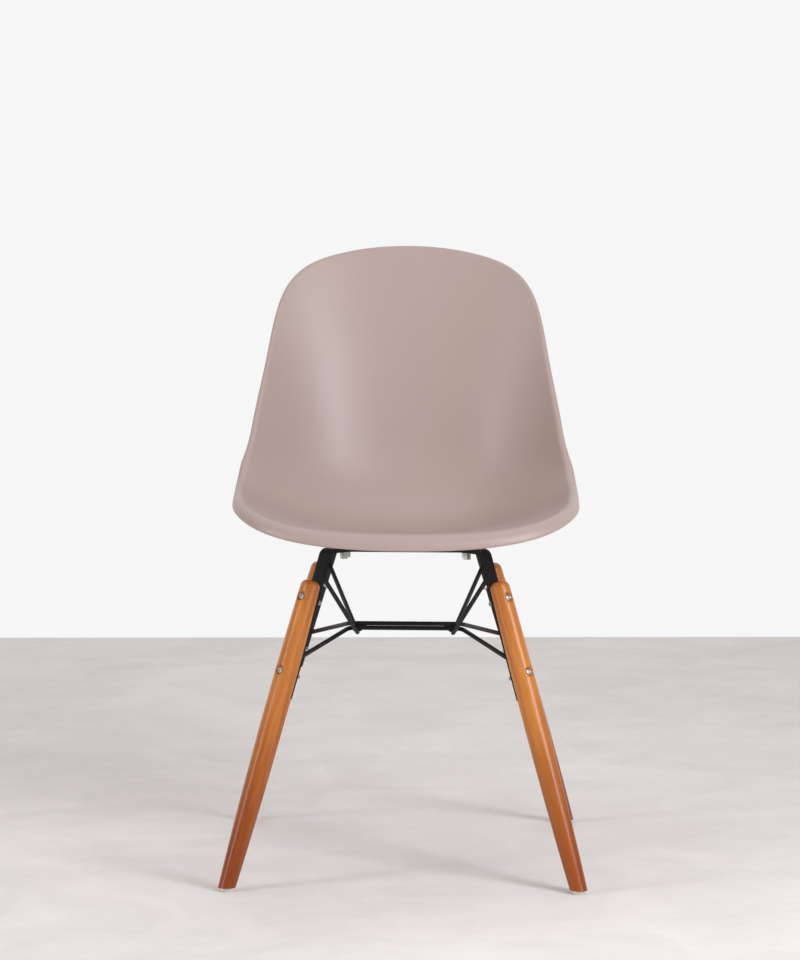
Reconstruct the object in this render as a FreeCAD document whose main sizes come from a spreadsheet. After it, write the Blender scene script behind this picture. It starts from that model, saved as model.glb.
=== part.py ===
import FreeCAD, Part
import math
import os

import Sketcher
from FreeCAD import Placement, Rotation, Vector

# Moulded plastic shell chair with four dowel legs, two bent steel straps and a wire brace.
# Millimetres. +Z up, the sitter faces -Y, +X is the right-hand side of the view from the front.
# The origin is on the floor, under the middle of the chair's overall box.

SIZES = [
    # the shell
    ("shell_half_width", 218.5, "crest of the side rim at its widest"),
    ("shell_length", 765.0, "front crest to top edge, along the middle of the sitting surface"),
    ("shell_wall", 5.0, "thickness of the moulding"),
    ("shell_front", 214.0, "front crest, in front of the middle of the feet"),
    ("shell_crest_height", 466.5, "front crest above the floor"),
    ("dish_depth", 104.0, "rim above the middle of the shell where the seat turns into the back"),
    ("front_roll", 20.0, "radius of the rolled front lip"),
    ("side_roll", 11.5, "radius of the rolled rim beside the seat"),
    ("top_roll", 5.0, "radius of the rolled rim at the top of the back"),
    ("boss_diameter", 28.0, "mounting boss under the seat"),
    ("front_boss_height", 17.0, "strap to the underside of the seat at a front bolt"),
    ("rear_boss_height", 23.8, "strap to the underside of the seat at a rear bolt"),
    ("insert_bore", 9.0, "hole in the boss for the threaded insert"),
    ("insert_bore_depth", 12.5, "depth of that hole"),
    # the stance
    ("feet_forward", 16.8, "middle of the feet, in front of the origin"),
    ("foot_half_span", 229.5, "feet, left and right of the middle"),
    ("foot_half_depth", 245.5, "feet, in front of and behind the middle"),
    ("front_leg_tilt", 20.8, "degrees off vertical, towards the diagonal"),
    ("rear_leg_tilt", 22.3, "degrees off vertical, towards the diagonal"),
    # the legs
    ("front_leg_drop", 40.6, "top of the leg below the top of the front strap"),
    ("rear_leg_drop", 30.2, "top of the leg below the top of the rear strap"),
    ("leg_foot_radius", 11.3, "at the foot"),
    ("leg_top_radius", 12.9, "at the top"),
    ("leg_belly", 3.1, "swell of the side over a straight taper"),
    ("leg_dome", 8.5, "rounding of the top"),
    ("leg_seat", 8.0, "flat for the strap, from the leg's axis"),
    ("leg_seat_gap", 0.8, "room below the end of the strap"),
    ("counterbore_diameter", 13.6, "recess for the bolt head"),
    ("upper_head_seat", 7.3, "floor of the upper recess, from the leg's axis"),
    ("lower_head_seat", 8.9, "floor of the lower recess, from the leg's axis"),
    ("leg_bolt_hole", 6.5, "clearance hole through the leg"),
    ("upper_bolt_drop", 24.0, "upper bolt below the top of the leg"),
    ("bolt_spacing", 102.0, "upper bolt to lower bolt"),
    # the straps
    ("bar_width", 18.0, "width of the flat bar"),
    ("bar_thickness", 6.0, "thickness of the flat bar"),
    ("bar_row", 98.0, "straps, in front of and behind the middle"),
    ("knee_inset", 4.0, "turn of the strap towards the leg, inside the seat bolt"),
    ("bar_bend", 6.0, "inner radius of the bend down to the leg"),
    ("bar_plan_bend", 12.0, "inner radius of the turn in plan"),
    ("strap_tail", 32.0, "strap below the lower bolt"),
    ("strap_bolt_hole", 6.2, "threaded hole for the leg bolt"),
    ("seat_bolt_hole", 6.6, "hole for the seat bolt"),
    ("seat_bolt_half_span", 82.0, "seat bolts, left and right of the middle"),
    # the wire brace
    ("rod_diameter", 6.0, "wire of the brace"),
    ("rod_bend", 14.0, "bend radius of the tie rods"),
    ("brace_bend", 9.0, "bend radius of the side braces"),
    ("weld_gap", 0.2, "between wires that cross"),
    ("tie_half_span", 76.0, "bends of the tie rods, left and right of the middle"),
    ("tie_drop", 116.5, "axis of the lower tie rod below the front strap"),
    ("front_tie_drop", 137.5, "end of the front tie rod below the front strap"),
    ("rear_tie_drop", 125.5, "end of the rear tie rod below the rear strap"),
    ("brace_half_span", 65.0, "lowest point of the side braces, left and right of the middle"),
    ("front_brace_drop", 25.5, "end of the side brace below the front strap"),
    ("rear_brace_drop", 20.5, "end of the side brace below the rear strap"),
    # the fasteners
    ("bolt_diameter", 6.0, "all bolts"),
    ("bolt_tip", 0.8, "chamfer at the end of every bolt"),
    ("leg_bolt_length", 34.0, "under the head"),
    ("leg_head_diameter", 10.6, "button head"),
    ("leg_head_height", 3.3, "button head"),
    ("hex_key", 4.0, "across the flats of the socket"),
    ("hex_key_depth", 2.0, "depth of the socket"),
    ("leg_washer_diameter", 12.6, "washer under the button head"),
    ("leg_washer_height", 1.2, "washer under the button head"),
    ("seat_bolt_length", 20.0, "under the head"),
    ("seat_head_flats", 10.0, "across the flats of the hexagon head"),
    ("seat_head_height", 6.0, "hexagon head"),
    ("seat_washer_diameter", 12.0, "washer under the strap"),
    ("seat_washer_height", 2.0, "washer under the strap"),
    ("lock_washer_diameter", 10.2, "split spring washer"),
    ("lock_washer_height", 1.9, "split spring washer"),
    ("lock_washer_split", 1.2, "width of the split"),
    ("washer_bore", 6.4, "hole of every washer"),
    ("insert_length", 12.0, "threaded insert"),
    ("insert_clearance", 0.1, "insert to its hole, on the diameter"),
    ("insert_groove", 0.5, "depth of the groove round the insert"),
    ("thread_clearance", 0.1, "bolt to its insert, on the diameter"),
    # the feet
    ("glide_diameter", 17.0, "nylon glide"),
    ("glide_height", 5.0, "nylon glide"),
    ("glide_round", 1.5, "lower edge of the glide"),
    ("nail_diameter", 2.4, "nail through the glide"),
    ("nail_length", 18.0, "nail under its head"),
    ("nail_point", 3.0, "length of the nail's point"),
    ("nail_clearance", 0.2, "nail to its holes, on the diameter"),
    ("nail_head_diameter", 6.0, "head of the nail"),
    ("nail_head_height", 1.0, "head of the nail"),
    ("nail_head_depth", 1.6, "recess under the glide for the nail's head"),
    ("nail_head_clearance", 0.6, "nail's head to its recess, on the diameter"),
]

# The middle line of the sitting surface: slope in degrees at each share of its length.
SLOPES = [
    (0.0, -4.0), (0.08, -6.5), (0.2, -7.0), (0.33, -6.0), (0.39, 1.0), (0.46, 22.0),
    (0.52, 48.0), (0.59, 67.0), (0.65, 74.0), (0.78, 75.5), (0.92, 74.5), (1.05, 71.0),
]
# Direction in which the sides rise from the middle line, in degrees back from upright.
RISE = [
    (0.0, -4.0), (0.08, -6.5), (0.2, -7.0), (0.28, -6.3), (0.32, -3.7), (0.36, 2.8),
    (0.44, 24.6), (0.52, 49.1), (0.6, 68.8), (0.65, 74.0), (0.78, 75.5), (0.92, 74.5),
    (1.05, 71.0),
]
# Rise of the rim over the middle line, as shares of dish_depth.
DISH = [
    (0.0, 0.22), (0.08, 0.35), (0.14, 0.43), (0.28, 0.58), (0.32, 0.638), (0.36, 0.713),
    (0.4, 0.81), (0.44, 0.905), (0.48, 0.973), (0.52, 0.996), (0.56, 0.99), (0.6, 0.97),
    (0.64, 0.925), (0.71, 0.79), (0.81, 0.56), (0.92, 0.385), (1.05, 0.17),
]
# Half width at which the rise is reached, as shares of shell_half_width.
REACH = [
    (0.0, 1.016), (0.16, 1.016), (0.34, 1.016), (0.48, 0.989), (0.65, 0.943), (0.8, 0.888),
    (0.94, 0.824), (1.07, 0.73),
]
DISH_POWER = 2.5
# The crest of the rim from the front round one side to the top: half width, share of length.
RIM = [
    (0.0, 0.0), (0.366, 0.004), (0.641, 0.018), (0.833, 0.051), (0.943, 0.105),
    (0.984, 0.196), (1.0, 0.314), (0.993, 0.431), (0.969, 0.549), (0.928, 0.667),
    (0.872, 0.771), (0.816, 0.869), (0.755, 0.918), (0.641, 0.956), (0.458, 0.981),
    (0.229, 0.996), (0.0, 1.0),
]
# Degrees through which the rim is rolled over.
ROLL_TURN = [(0.0, 88.0), (0.29, 80.0), (0.56, 62.0), (0.9, 42.0), (1.07, 30.0)]
# Share of the length at which the rings of the shell's surface are centred.
SHELL_MIDDLE = 0.3
SHELL_COLUMNS = 96
SHELL_RINGS = 22
ROLL_ROWS = 5
PROFILE_STEPS = 400
# How close an edge has to lie to be the one that is looked for.
NEAR = 0.01

CORNERS = {
    "front_left": (-1, -1),
    "front_right": (1, -1),
    "rear_right": (1, 1),
    "rear_left": (-1, 1),
}

doc = FreeCAD.newDocument("shell_chair")
sheet = doc.addObject("Spreadsheet::Sheet", "sizes")
finished = []


def write_sizes(sizes, first_row):
    """Write rows of alias, number or formula, and note into the sheet."""
    for row, (alias, content, note) in enumerate(sizes, start=first_row):
        sheet.set(f"A{row}", alias)
        sheet.set(f"B{row}", str(content))
        sheet.set(f"C{row}", note)
        sheet.setAlias(f"B{row}", alias)
    doc.recompute()


write_sizes(SIZES, 1)


def size(alias):
    """Read one driving dimension."""
    return float(sheet.get(alias))


def value_of(expression):
    """Work out an expression that is written over the sheet's aliases."""
    return float(sheet.evalExpression(expression))


# Sketch and body helpers


def new_body(name):
    """Start a body whose label becomes its file name."""
    body = doc.addObject("PartDesign::Body", name)
    body.Label = name
    finished.append(body)
    return body


def new_sketch(body, name, role, offset=None):
    """Put a sketch on one of the body's own origin planes."""
    sketch = body.newObject("Sketcher::SketchObject", name)
    plane = next(item for item in body.Origin.OriginFeatures if item.Role == role)
    sketch.AttachmentSupport = [(plane, "")]
    sketch.MapMode = "FlatFace"
    if offset is not None:
        sketch.AttachmentOffset = offset
    return sketch


def bind(sketch, constraint, expression):
    """Add a constraint and tie its value to the sheet."""
    index = sketch.addConstraint(constraint)
    sketch.setExpression(f"Constraints[{index}]", expression)


def pin(sketch, item, point, across, up):
    """Place one point of a sketch by two expressions."""
    for kind, axis, expression in (("DistanceX", -2, across), ("DistanceY", -1, up)):
        if expression == "0":
            sketch.addConstraint(Sketcher.Constraint("PointOnObject", item, point, axis))
        else:
            value = value_of(expression)
            bind(sketch, Sketcher.Constraint(kind, item, point, value), expression)


def polygon(sketch, corners):
    """Draw a closed outline through corners that are given as pairs of expressions."""
    spots = [Vector(value_of(across), value_of(up), 0) for across, up in corners]
    first = sketch.GeometryCount
    count = len(spots)
    for index, spot in enumerate(spots):
        sketch.addGeometry(Part.LineSegment(spot, spots[(index + 1) % count]), False)
    for index in range(count):
        after = first + (index + 1) % count
        sketch.addConstraint(Sketcher.Constraint("Coincident", first + index, 2, after, 1))
    for index, (across, up) in enumerate(corners):
        pin(sketch, first + index, 1, across, up)


def circle(sketch, across, up, diameter):
    """Draw a circle whose centre and diameter are expressions."""
    centre = Vector(value_of(across), value_of(up), 0)
    item = sketch.addGeometry(Part.Circle(centre, Vector(0, 0, 1), value_of(diameter) / 2), False)
    pin(sketch, item, 3, across, up)
    bind(sketch, Sketcher.Constraint("Diameter", item, value_of(diameter)), diameter)


def hexagon(sketch, flats):
    """Draw a hexagon about the origin from its width across the flats."""
    half = f"{flats} / 2"
    point = f"{flats} / sqrt(3)"
    side = f"{flats} / sqrt(3) / 2"
    polygon(sketch, [
        (point, "0"), (side, half), (f"-({side})", half),
        (f"-({point})", "0"), (f"-({side})", f"-({half})"), (side, f"-({half})"),
    ])


def revolve(body, sketch):
    """Turn a profile about the body's own Z axis."""
    feature = body.newObject("PartDesign::Revolution", f"{sketch.Name}_turned")
    feature.Profile = sketch
    feature.ReferenceAxis = (sketch, ["V_Axis"])
    feature.Angle = 360
    doc.recompute()
    return feature


def pad(body, sketch, length, middle=False):
    """Raise a sketch by a length."""
    feature = body.newObject("PartDesign::Pad", f"{sketch.Name}_pad")
    feature.Profile = sketch
    if middle:
        feature.SideType = "Symmetric"
    feature.setExpression("Length", length)
    doc.recompute()
    return feature


def pocket(body, sketch, length, middle=False, turned=False):
    """Cut a sketch into the body and make sure that it removes something."""
    before = body.Shape.Volume
    feature = body.newObject("PartDesign::Pocket", f"{sketch.Name}_cut")
    feature.Profile = sketch
    if middle:
        feature.SideType = "Symmetric"
    feature.Reversed = turned
    feature.setExpression("Length", length)
    doc.recompute()
    if body.Shape.Volume >= before - 1e-6:
        raise RuntimeError(f"{feature.Name} cuts nothing")
    return feature


def edges_where(shape, test):
    """Name the edges of a shape that pass a test."""
    return [f"Edge{number}" for number, edge in enumerate(shape.Edges, start=1) if test(edge)]


def round_edges(body, name, radius, test):
    """Fillet the edges of a body that pass a test."""
    base = body.Tip
    names = edges_where(base.Shape, test)
    if not names:
        raise RuntimeError(f"{body.Name} has no edge for {name}")
    feature = body.newObject("PartDesign::Fillet", name)
    feature.Base = (base, names)
    feature.setExpression("Radius", radius)
    doc.recompute()
    return feature


def mirror_sides(body, originals, name):
    """Repeat features on the other side of the chair."""
    plane = next(item for item in body.Origin.OriginFeatures if item.Role == "YZ_Plane")
    feature = body.newObject("PartDesign::Mirrored", name)
    feature.Originals = originals
    feature.MirrorPlane = (plane, [""])
    body.Tip = feature
    doc.recompute()
    return feature


# The frame of each leg: origin at the middle of the foot, Z up the leg, X square to it inwards.


def stance():
    """Give the placement of the middle of the feet."""
    return Placement(Vector(0, -size("feet_forward"), 0), Rotation())


def leg_in_stance(corner):
    """Give the placement of a leg from the middle of the feet."""
    side, end = CORNERS[corner]
    foot = Vector(side * size("foot_half_span"), end * size("foot_half_depth"), size("glide_height"))
    splay = math.radians(size("leg_heading"))
    heading = math.degrees(math.atan2(-end * math.sin(splay), -side * math.cos(splay)))
    turn = Rotation(Vector(0, 0, 1), heading)
    depth = "front" if end < 0 else "rear"
    lean = Rotation(Vector(0, 1, 0), size(f"{depth}_leg_tilt"))
    return Placement(foot, turn * lean)


def leg_frame(corner):
    """Give the placement of a leg."""
    return stance() * leg_in_stance(corner)


def upper_bolt(end):
    """Write the height of the upper bolt on a front or a rear leg."""
    return f"(sizes.{end}_leg_length - sizes.upper_bolt_drop)"


def lower_bolt(end):
    """Write the height of the lower bolt on a front or a rear leg."""
    return f"({upper_bolt(end)} - sizes.bolt_spacing)"


def bolt_axes(end):
    """List the bolts of a leg: name, height, floor of the recess."""
    return [
        ("upper", upper_bolt(end), "sizes.upper_head_seat"),
        ("lower", lower_bolt(end), "sizes.lower_head_seat"),
    ]


ACROSS_LEG = Rotation(Vector(0, 1, 0), 90)
HEADING = "(sizes.leg_heading * 1deg)"


def leg(corner):
    """Turn, level, flatten and drill one leg."""
    end = corner.split("_")[0]
    length = f"sizes.{end}_leg_length"
    tilt = f"sizes.{end}_leg_tilt"
    stub = "2 * sizes.leg_foot_radius"
    body = new_body(f"{corner}_leg")

    profile = new_sketch(body, f"{corner}_leg_profile", "XZ_Plane")
    low = Vector(0, -value_of(stub), 0)
    low_side = Vector(size("leg_foot_radius"), low.y, 0)
    foot = Vector(size("leg_foot_radius"), 0, 0)
    top = Vector(size("leg_top_radius"), value_of(length), 0)
    middle = Vector((foot.x + top.x) / 2 + size("leg_belly"), top.y / 2, 0)
    profile.addGeometry(Part.LineSegment(low, low_side), False)
    profile.addGeometry(Part.LineSegment(low_side, foot), False)
    profile.addGeometry(Part.Arc(foot, middle, top), False)
    profile.addGeometry(Part.LineSegment(top, Vector(0, top.y, 0)), False)
    profile.addGeometry(Part.LineSegment(Vector(0, top.y, 0), low), False)
    for first, second in ((0, 1), (1, 2), (2, 3), (3, 4), (4, 0)):
        profile.addConstraint(Sketcher.Constraint("Coincident", first, 2, second, 1))
    pin(profile, 0, 1, "0", f"-{stub}")
    pin(profile, 0, 2, "sizes.leg_foot_radius", f"-{stub}")
    pin(profile, 2, 1, "sizes.leg_foot_radius", "0")
    pin(profile, 2, 2, "sizes.leg_top_radius", length)
    pin(profile, 4, 1, "0", length)
    chord = f"(({length})^2 + (sizes.leg_top_radius - sizes.leg_foot_radius)^2)"
    bend = f"{chord} / (8 * sizes.leg_belly) + sizes.leg_belly / 2"
    bind(profile, Sketcher.Constraint("Radius", 2, value_of(bend)), bend)
    revolve(body, profile)

    top_height = value_of(length)
    round_edges(body, f"{corner}_leg_dome", "sizes.leg_dome",
                lambda edge: edge.isClosed() and edge.BoundBox.ZMin > top_height - NEAR)

    reach = "3 * sizes.leg_foot_radius"
    level = new_sketch(body, f"{corner}_leg_level", "XZ_Plane")
    slope = f"{reach} * tan({tilt} * 1deg)"
    polygon(level, [
        (f"-({reach})", f"-({slope})"), (reach, slope),
        (reach, f"-2 * ({reach})"), (f"-({reach})", f"-2 * ({reach})"),
    ])
    pocket(body, level, f"2 * ({reach})", middle=True)

    flat = new_sketch(body, f"{corner}_leg_flat", "XZ_Plane")
    flat_foot = f"{lower_bolt(end)} - sizes.strap_tail - sizes.leg_seat_gap"
    polygon(flat, [
        ("sizes.leg_seat", flat_foot), (f"sizes.leg_seat + {reach}", flat_foot),
        (f"sizes.leg_seat + {reach}", f"{length} + 1"), ("sizes.leg_seat", f"{length} + 1"),
    ])
    pocket(body, flat, f"2 * ({reach})", middle=True)

    # The bolt holes run along the leg's X axis, each with its recess on the outer side.
    holes = new_sketch(body, f"{corner}_leg_holes", "YZ_Plane")
    for name, height, seat in bolt_axes(end):
        circle(holes, "0", height, "sizes.leg_bolt_hole")
    pocket(body, holes, f"2 * ({reach})", middle=True)
    for name, height, seat in bolt_axes(end):
        floor = Placement(Vector(0, 0, -value_of(seat)), Rotation())
        recess = new_sketch(body, f"{corner}_leg_{name}_recess", "YZ_Plane", floor)
        recess.setExpression("AttachmentOffset.Base.z", f"-{seat}")
        circle(recess, "0", height, "sizes.counterbore_diameter")
        pocket(body, recess, reach, turned=False)

    # The nail's hole stands upright when the leg leans.
    upright = Placement(Vector(0, 0, 0), Rotation(Vector(0, 1, 0), -value_of(tilt)))
    nail = new_sketch(body, f"{corner}_leg_nail_hole", "XY_Plane", upright)
    circle(nail, "0", "0", "sizes.nail_diameter + sizes.nail_clearance")
    pocket(body, nail, "2 * (sizes.nail_length + sizes.nail_head_depth)", middle=True)
    body.Placement = leg_frame(corner)
    return body


# The straps: a bar along X under the seat, turned to the diagonal and bent down each leg.


def strap(end):
    """Bend and drill one strap from flat bar."""
    facing = -1 if end == "front" else 1
    height = f"sizes.{end}_bar_height"
    row = "sizes.bar_row" if facing > 0 else "-sizes.bar_row"
    half = "sizes.bar_width / 2"
    tilt = f"(sizes.{end}_leg_tilt * 1deg)"
    body = new_body(f"{end}_strap")

    # Where the bar turns off X towards the leg, and a stub of it past that turn.
    knee = "sizes.knee_half_span"
    mitre = f"({half} * tan({HEADING} / 2))"
    stub_across = f"(sizes.bar_width * cos({HEADING}))"
    stub_along = f"(sizes.bar_width * sin({HEADING}))"
    edge_across = f"({half} * sin({HEADING}))"
    edge_along = f"({half} * cos({HEADING}))"
    out = "-" if facing < 0 else ""

    def spot(across, along):
        """Place a corner by its distance across X and its distance out from the row."""
        return across, f"{row} + {out}({along})" if out else f"{row} + ({along})"

    outer_corner = spot(f"{knee} + {mitre}", f"-({half})")
    inner_corner = spot(f"{knee} - {mitre}", half)
    outer_end = spot(f"{knee} + {stub_across} + {edge_across}", f"{stub_along} - {edge_along}")
    inner_end = spot(f"{knee} + {stub_across} - {edge_across}", f"{stub_along} + {edge_along}")
    right = [outer_corner, outer_end, inner_end, inner_corner]
    left = [(f"-({across})", up) for across, up in reversed(right)]
    lift = Placement(Vector(0, 0, value_of(height)), Rotation())
    plan = new_sketch(body, f"{end}_strap_plan", "XY_Plane", lift)
    plan.setExpression("AttachmentOffset.Base.z", height)
    polygon(plan, right + left)
    pad(body, plan, "sizes.bar_thickness")

    # The bent end lies in the upright plane of the leg: distance in from the foot, and height.
    frame = leg_in_stance(f"{end}_right")
    inward = frame.Rotation.multVec(Vector(1, 0, 0))
    heading = math.degrees(math.atan2(inward.y, inward.x))
    foot = frame.Base
    upright = Placement(Vector(foot.x, 0, -foot.y), Rotation(Vector(0, 1, 0), heading))
    side = new_sketch(body, f"{end}_strap_end", "XZ_Plane", upright)
    tail = f"({lower_bolt(end)} - sizes.strap_tail)"
    outer_face = "sizes.leg_seat"
    inner_face = "(sizes.leg_seat + sizes.bar_thickness)"
    bar_top = f"({height} + sizes.bar_thickness)"
    knee_reach = f"((sizes.foot_half_depth - sizes.bar_row) / sin({HEADING}))"

    def on_leg(along, out_from_axis):
        """Place a corner by its distance up the leg and out from the leg's axis."""
        across = f"{along} * sin({tilt}) + {out_from_axis} * cos({tilt})"
        up = f"sizes.glide_height + {along} * cos({tilt}) - {out_from_axis} * sin({tilt})"
        return across, up

    def at_height(level, out_from_axis):
        """Place a corner where a face of the strap reaches a height."""
        across = (f"({level} - sizes.glide_height) * tan({tilt})"
                  f" + {out_from_axis} / cos({tilt})")
        return across, level

    polygon(side, [
        on_leg(tail, outer_face), at_height(bar_top, outer_face),
        (knee_reach, bar_top), (knee_reach, height),
        at_height(height, inner_face), on_leg(tail, inner_face),
    ])
    arm = pad(body, side, "sizes.bar_width", middle=True)

    drill = Placement(frame.Base, frame.Rotation * ACROSS_LEG)
    holes = new_sketch(body, f"{end}_strap_leg_holes", "XY_Plane", drill)
    for name, along, seat in bolt_axes(end):
        circle(holes, f"-{along}", "0", "sizes.strap_bolt_hole")
    leg_holes = pocket(body, holes, "6 * sizes.leg_seat", middle=True)
    mirror_sides(body, [arm, leg_holes], f"{end}_strap_other_side")

    seat_holes = new_sketch(body, f"{end}_strap_seat_holes", "XY_Plane", lift)
    seat_holes.setExpression("AttachmentOffset.Base.z", height)
    for sign in ("", "-"):
        circle(seat_holes, f"{sign}sizes.seat_bolt_half_span", row, "sizes.seat_bolt_hole")
    pocket(body, seat_holes, "4 * sizes.bar_thickness", middle=True)

    def corner_edge(expressions):
        """Test for the edge across the bar at a corner of the bent end."""
        across, up = value_of(expressions[0]), value_of(expressions[1])
        axis = Vector(-inward.y, inward.x, 0).normalize()

        def test(edge):
            if not isinstance(edge.Curve, Part.Line) or len(edge.Vertexes) != 2:
                return False
            middle = edge.CenterOfMass
            if middle.x < 0:
                middle = Vector(-middle.x, middle.y, middle.z)
            span = edge.Vertexes[1].Point - edge.Vertexes[0].Point
            if abs(span.z) > NEAR or edge.Length < size("bar_width") * 0.9:
                return False
            flat_in = Vector(inward.x, inward.y, 0).normalize()
            target = Vector(foot.x, foot.y, 0) + flat_in * across
            return (Vector(middle.x, middle.y, 0) - target).Length < 0.5 and abs(middle.z - up) < 0.5

        return test

    round_edges(body, f"{end}_strap_outer_bend", "sizes.bar_bend + sizes.bar_thickness",
                corner_edge(at_height(bar_top, outer_face)))
    round_edges(body, f"{end}_strap_inner_bend", "sizes.bar_bend",
                corner_edge(at_height(height, inner_face)))

    def plan_edge(corner):
        """Test for an upright edge of the bar at a corner of its plan."""
        across, up = abs(value_of(corner[0])), value_of(corner[1])

        def test(edge):
            middle = edge.CenterOfMass
            if edge.BoundBox.XLength > NEAR or edge.BoundBox.YLength > NEAR:
                return False
            return abs(abs(middle.x) - across) < 0.3 and abs(middle.y - up) < 0.3

        return test

    round_edges(body, f"{end}_strap_plan_inner", "sizes.bar_plan_bend", plan_edge(inner_corner))
    round_edges(body, f"{end}_strap_plan_outer", "sizes.bar_plan_bend + sizes.bar_width",
                plan_edge(outer_corner))
    body.Placement = stance()
    return body


# The wires: a round section swept along straight runs and bends, trimmed where it meets a strap.


def wire_path(points, bend):
    """Join points by straight runs with a bend of the given radius at each inner point."""
    pieces = []
    start = points[0]
    for before, corner, after in zip(points, points[1:], points[2:]):
        arriving = (corner - before).normalize()
        leaving = (after - corner).normalize()
        turn = arriving.getAngle(leaving)
        setback = bend * math.tan(turn / 2)
        enter = corner - arriving * setback
        leave = corner + leaving * setback
        centre_way = (leaving - arriving).normalize()
        middle = corner + centre_way * (bend / math.cos(turn / 2) - bend)
        pieces.append(Part.LineSegment(start, enter).toShape())
        pieces.append(Part.Arc(enter, middle, leave).toShape())
        start = leave
    pieces.append(Part.LineSegment(start, points[-1]).toShape())
    return Part.Wire(pieces)


def bent_wire(name, points, bend, straps):
    """Sweep one wire and trim its ends flush with the straps."""
    path = doc.addObject("Part::Feature", f"{name}_path")
    path.Shape = wire_path(points, bend)
    start = points[0]
    along = (points[1] - points[0]).normalize()
    section = doc.addObject("Part::Circle", f"{name}_section")
    section.setExpression("Radius", "sizes.rod_diameter / 2")
    section.Placement = Placement(start, Rotation(Vector(0, 0, 1), along))
    sweep = doc.addObject("Part::Sweep", f"{name}_wire")
    sweep.Sections = [section]
    sweep.Spine = (path, [f"Edge{number + 1}" for number in range(len(path.Shape.Edges))])
    sweep.Solid = True
    sweep.Transition = "Right corner"
    doc.recompute()
    return trimmed(name, sweep, straps)


def trimmed(name, blank, straps):
    """Cut the straps out of a blank, which leaves its ends flush on them."""
    for index, tool in enumerate(straps):
        last = index == len(straps) - 1
        cut = doc.addObject("Part::Cut", name if last else f"{name}_trim")
        cut.Base = blank
        cut.Tool = tool
        doc.recompute()
        blank = cut
    blank.Label = name
    finished.append(blank)
    return blank


def on_strap(corner, height):
    """Give the point just inside a strap's inner face at a height above the floor."""
    frame = leg_frame(corner)
    tilt = math.radians(size(f"{corner.split('_')[0]}_leg_tilt"))
    depth_in_bar = size("bar_thickness") * 0.45
    offset = size("leg_seat") + size("bar_thickness") - depth_in_bar
    along = (height - size("glide_height") + offset * math.sin(tilt)) / math.cos(tilt)
    return frame.multVec(Vector(offset, 0, along))


def tie_rod(end, straps):
    """Bend one tie rod: strap, level run across the chair, other strap."""
    lower = size("tie_height")
    upper = lower + size("rod_diameter") + size("weld_gap")
    level = lower if end == "front" else upper
    reach = size(f"{end}_bar_height") - size(f"{end}_tie_drop")
    span = size("tie_half_span")
    points = [
        on_strap(f"{end}_left", reach), stance().multVec(Vector(-span, 0, level)),
        stance().multVec(Vector(span, 0, level)), on_strap(f"{end}_right", reach),
    ]
    return bent_wire(f"{end}_tie_rod", points, size("rod_bend"), straps)


def side_brace(side, straps):
    """Bend one side brace: front strap, down under the tie rods, rear strap."""
    sign = -1 if side == "left" else 1
    rod = size("rod_diameter")
    bend = size("brace_bend")
    front = on_strap(f"front_{side}", size("front_bar_height") - size("front_brace_drop"))
    rear = on_strap(f"rear_{side}", size("rear_bar_height") - size("rear_brace_drop"))
    level = size("tie_height") - rod - size("weld_gap")
    lowest = stance().multVec(Vector(sign * size("brace_half_span"), 0, level))
    # The corner lies below the lowest point of the bend by the bend's own setback.
    corner = lowest
    for _ in range(4):
        arriving = (corner - front).normalize()
        leaving = (rear - corner).normalize()
        turn = arriving.getAngle(leaving)
        inward = (leaving - arriving).normalize()
        corner = lowest - inward * (bend / math.cos(turn / 2) - bend)
    return bent_wire(f"{side}_side_brace", [front, corner, rear], bend, straps)


# Fasteners, each turned about its own Z axis


def washer(name, diameter, height, placement):
    """Make a flat washer."""
    body = new_body(name)
    ring = new_sketch(body, f"{name}_ring", "XY_Plane")
    circle(ring, "0", "0", diameter)
    circle(ring, "0", "0", "sizes.washer_bore")
    pad(body, ring, height)
    body.Placement = placement
    return body


def lock_washer(name, placement):
    """Make a split spring washer."""
    body = washer(name, "sizes.lock_washer_diameter", "sizes.lock_washer_height", placement)
    gap = "sizes.lock_washer_split / 2"
    slit = new_sketch(body, f"{name}_slit", "XY_Plane")
    polygon(slit, [
        ("0", f"-({gap})"), ("sizes.lock_washer_diameter", f"-({gap})"),
        ("sizes.lock_washer_diameter", gap), ("0", gap),
    ])
    pocket(body, slit, "2 * sizes.lock_washer_height", turned=True)
    return body


def leg_bolt(name, placement):
    """Make a button-head bolt with a hexagon socket, head below the origin."""
    body = new_body(name)
    head = "sizes.leg_head_diameter / 2"
    shank = "sizes.bolt_diameter / 2"
    tip = "sizes.leg_bolt_length"
    top = "sizes.leg_head_height"
    profile = new_sketch(body, f"{name}_profile", "XZ_Plane")
    polygon(profile, [
        ("0", f"-{top}"), (f"{head} * 0.55", f"-{top}"), (f"{head} * 0.85", f"-{top} * 0.72"),
        (head, f"-{top} * 0.3"), (head, "0"), (shank, "0"), (shank, f"{tip} - sizes.bolt_tip"),
        (f"{shank} - sizes.bolt_tip", tip), ("0", tip),
    ])
    revolve(body, profile)
    face = Placement(Vector(0, 0, -size("leg_head_height")), Rotation())
    socket = new_sketch(body, f"{name}_socket", "XY_Plane", face)
    socket.setExpression("AttachmentOffset.Base.z", f"-{top}")
    hexagon(socket, "sizes.hex_key")
    pocket(body, socket, "sizes.hex_key_depth", turned=True)
    body.Placement = placement
    return body


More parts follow.
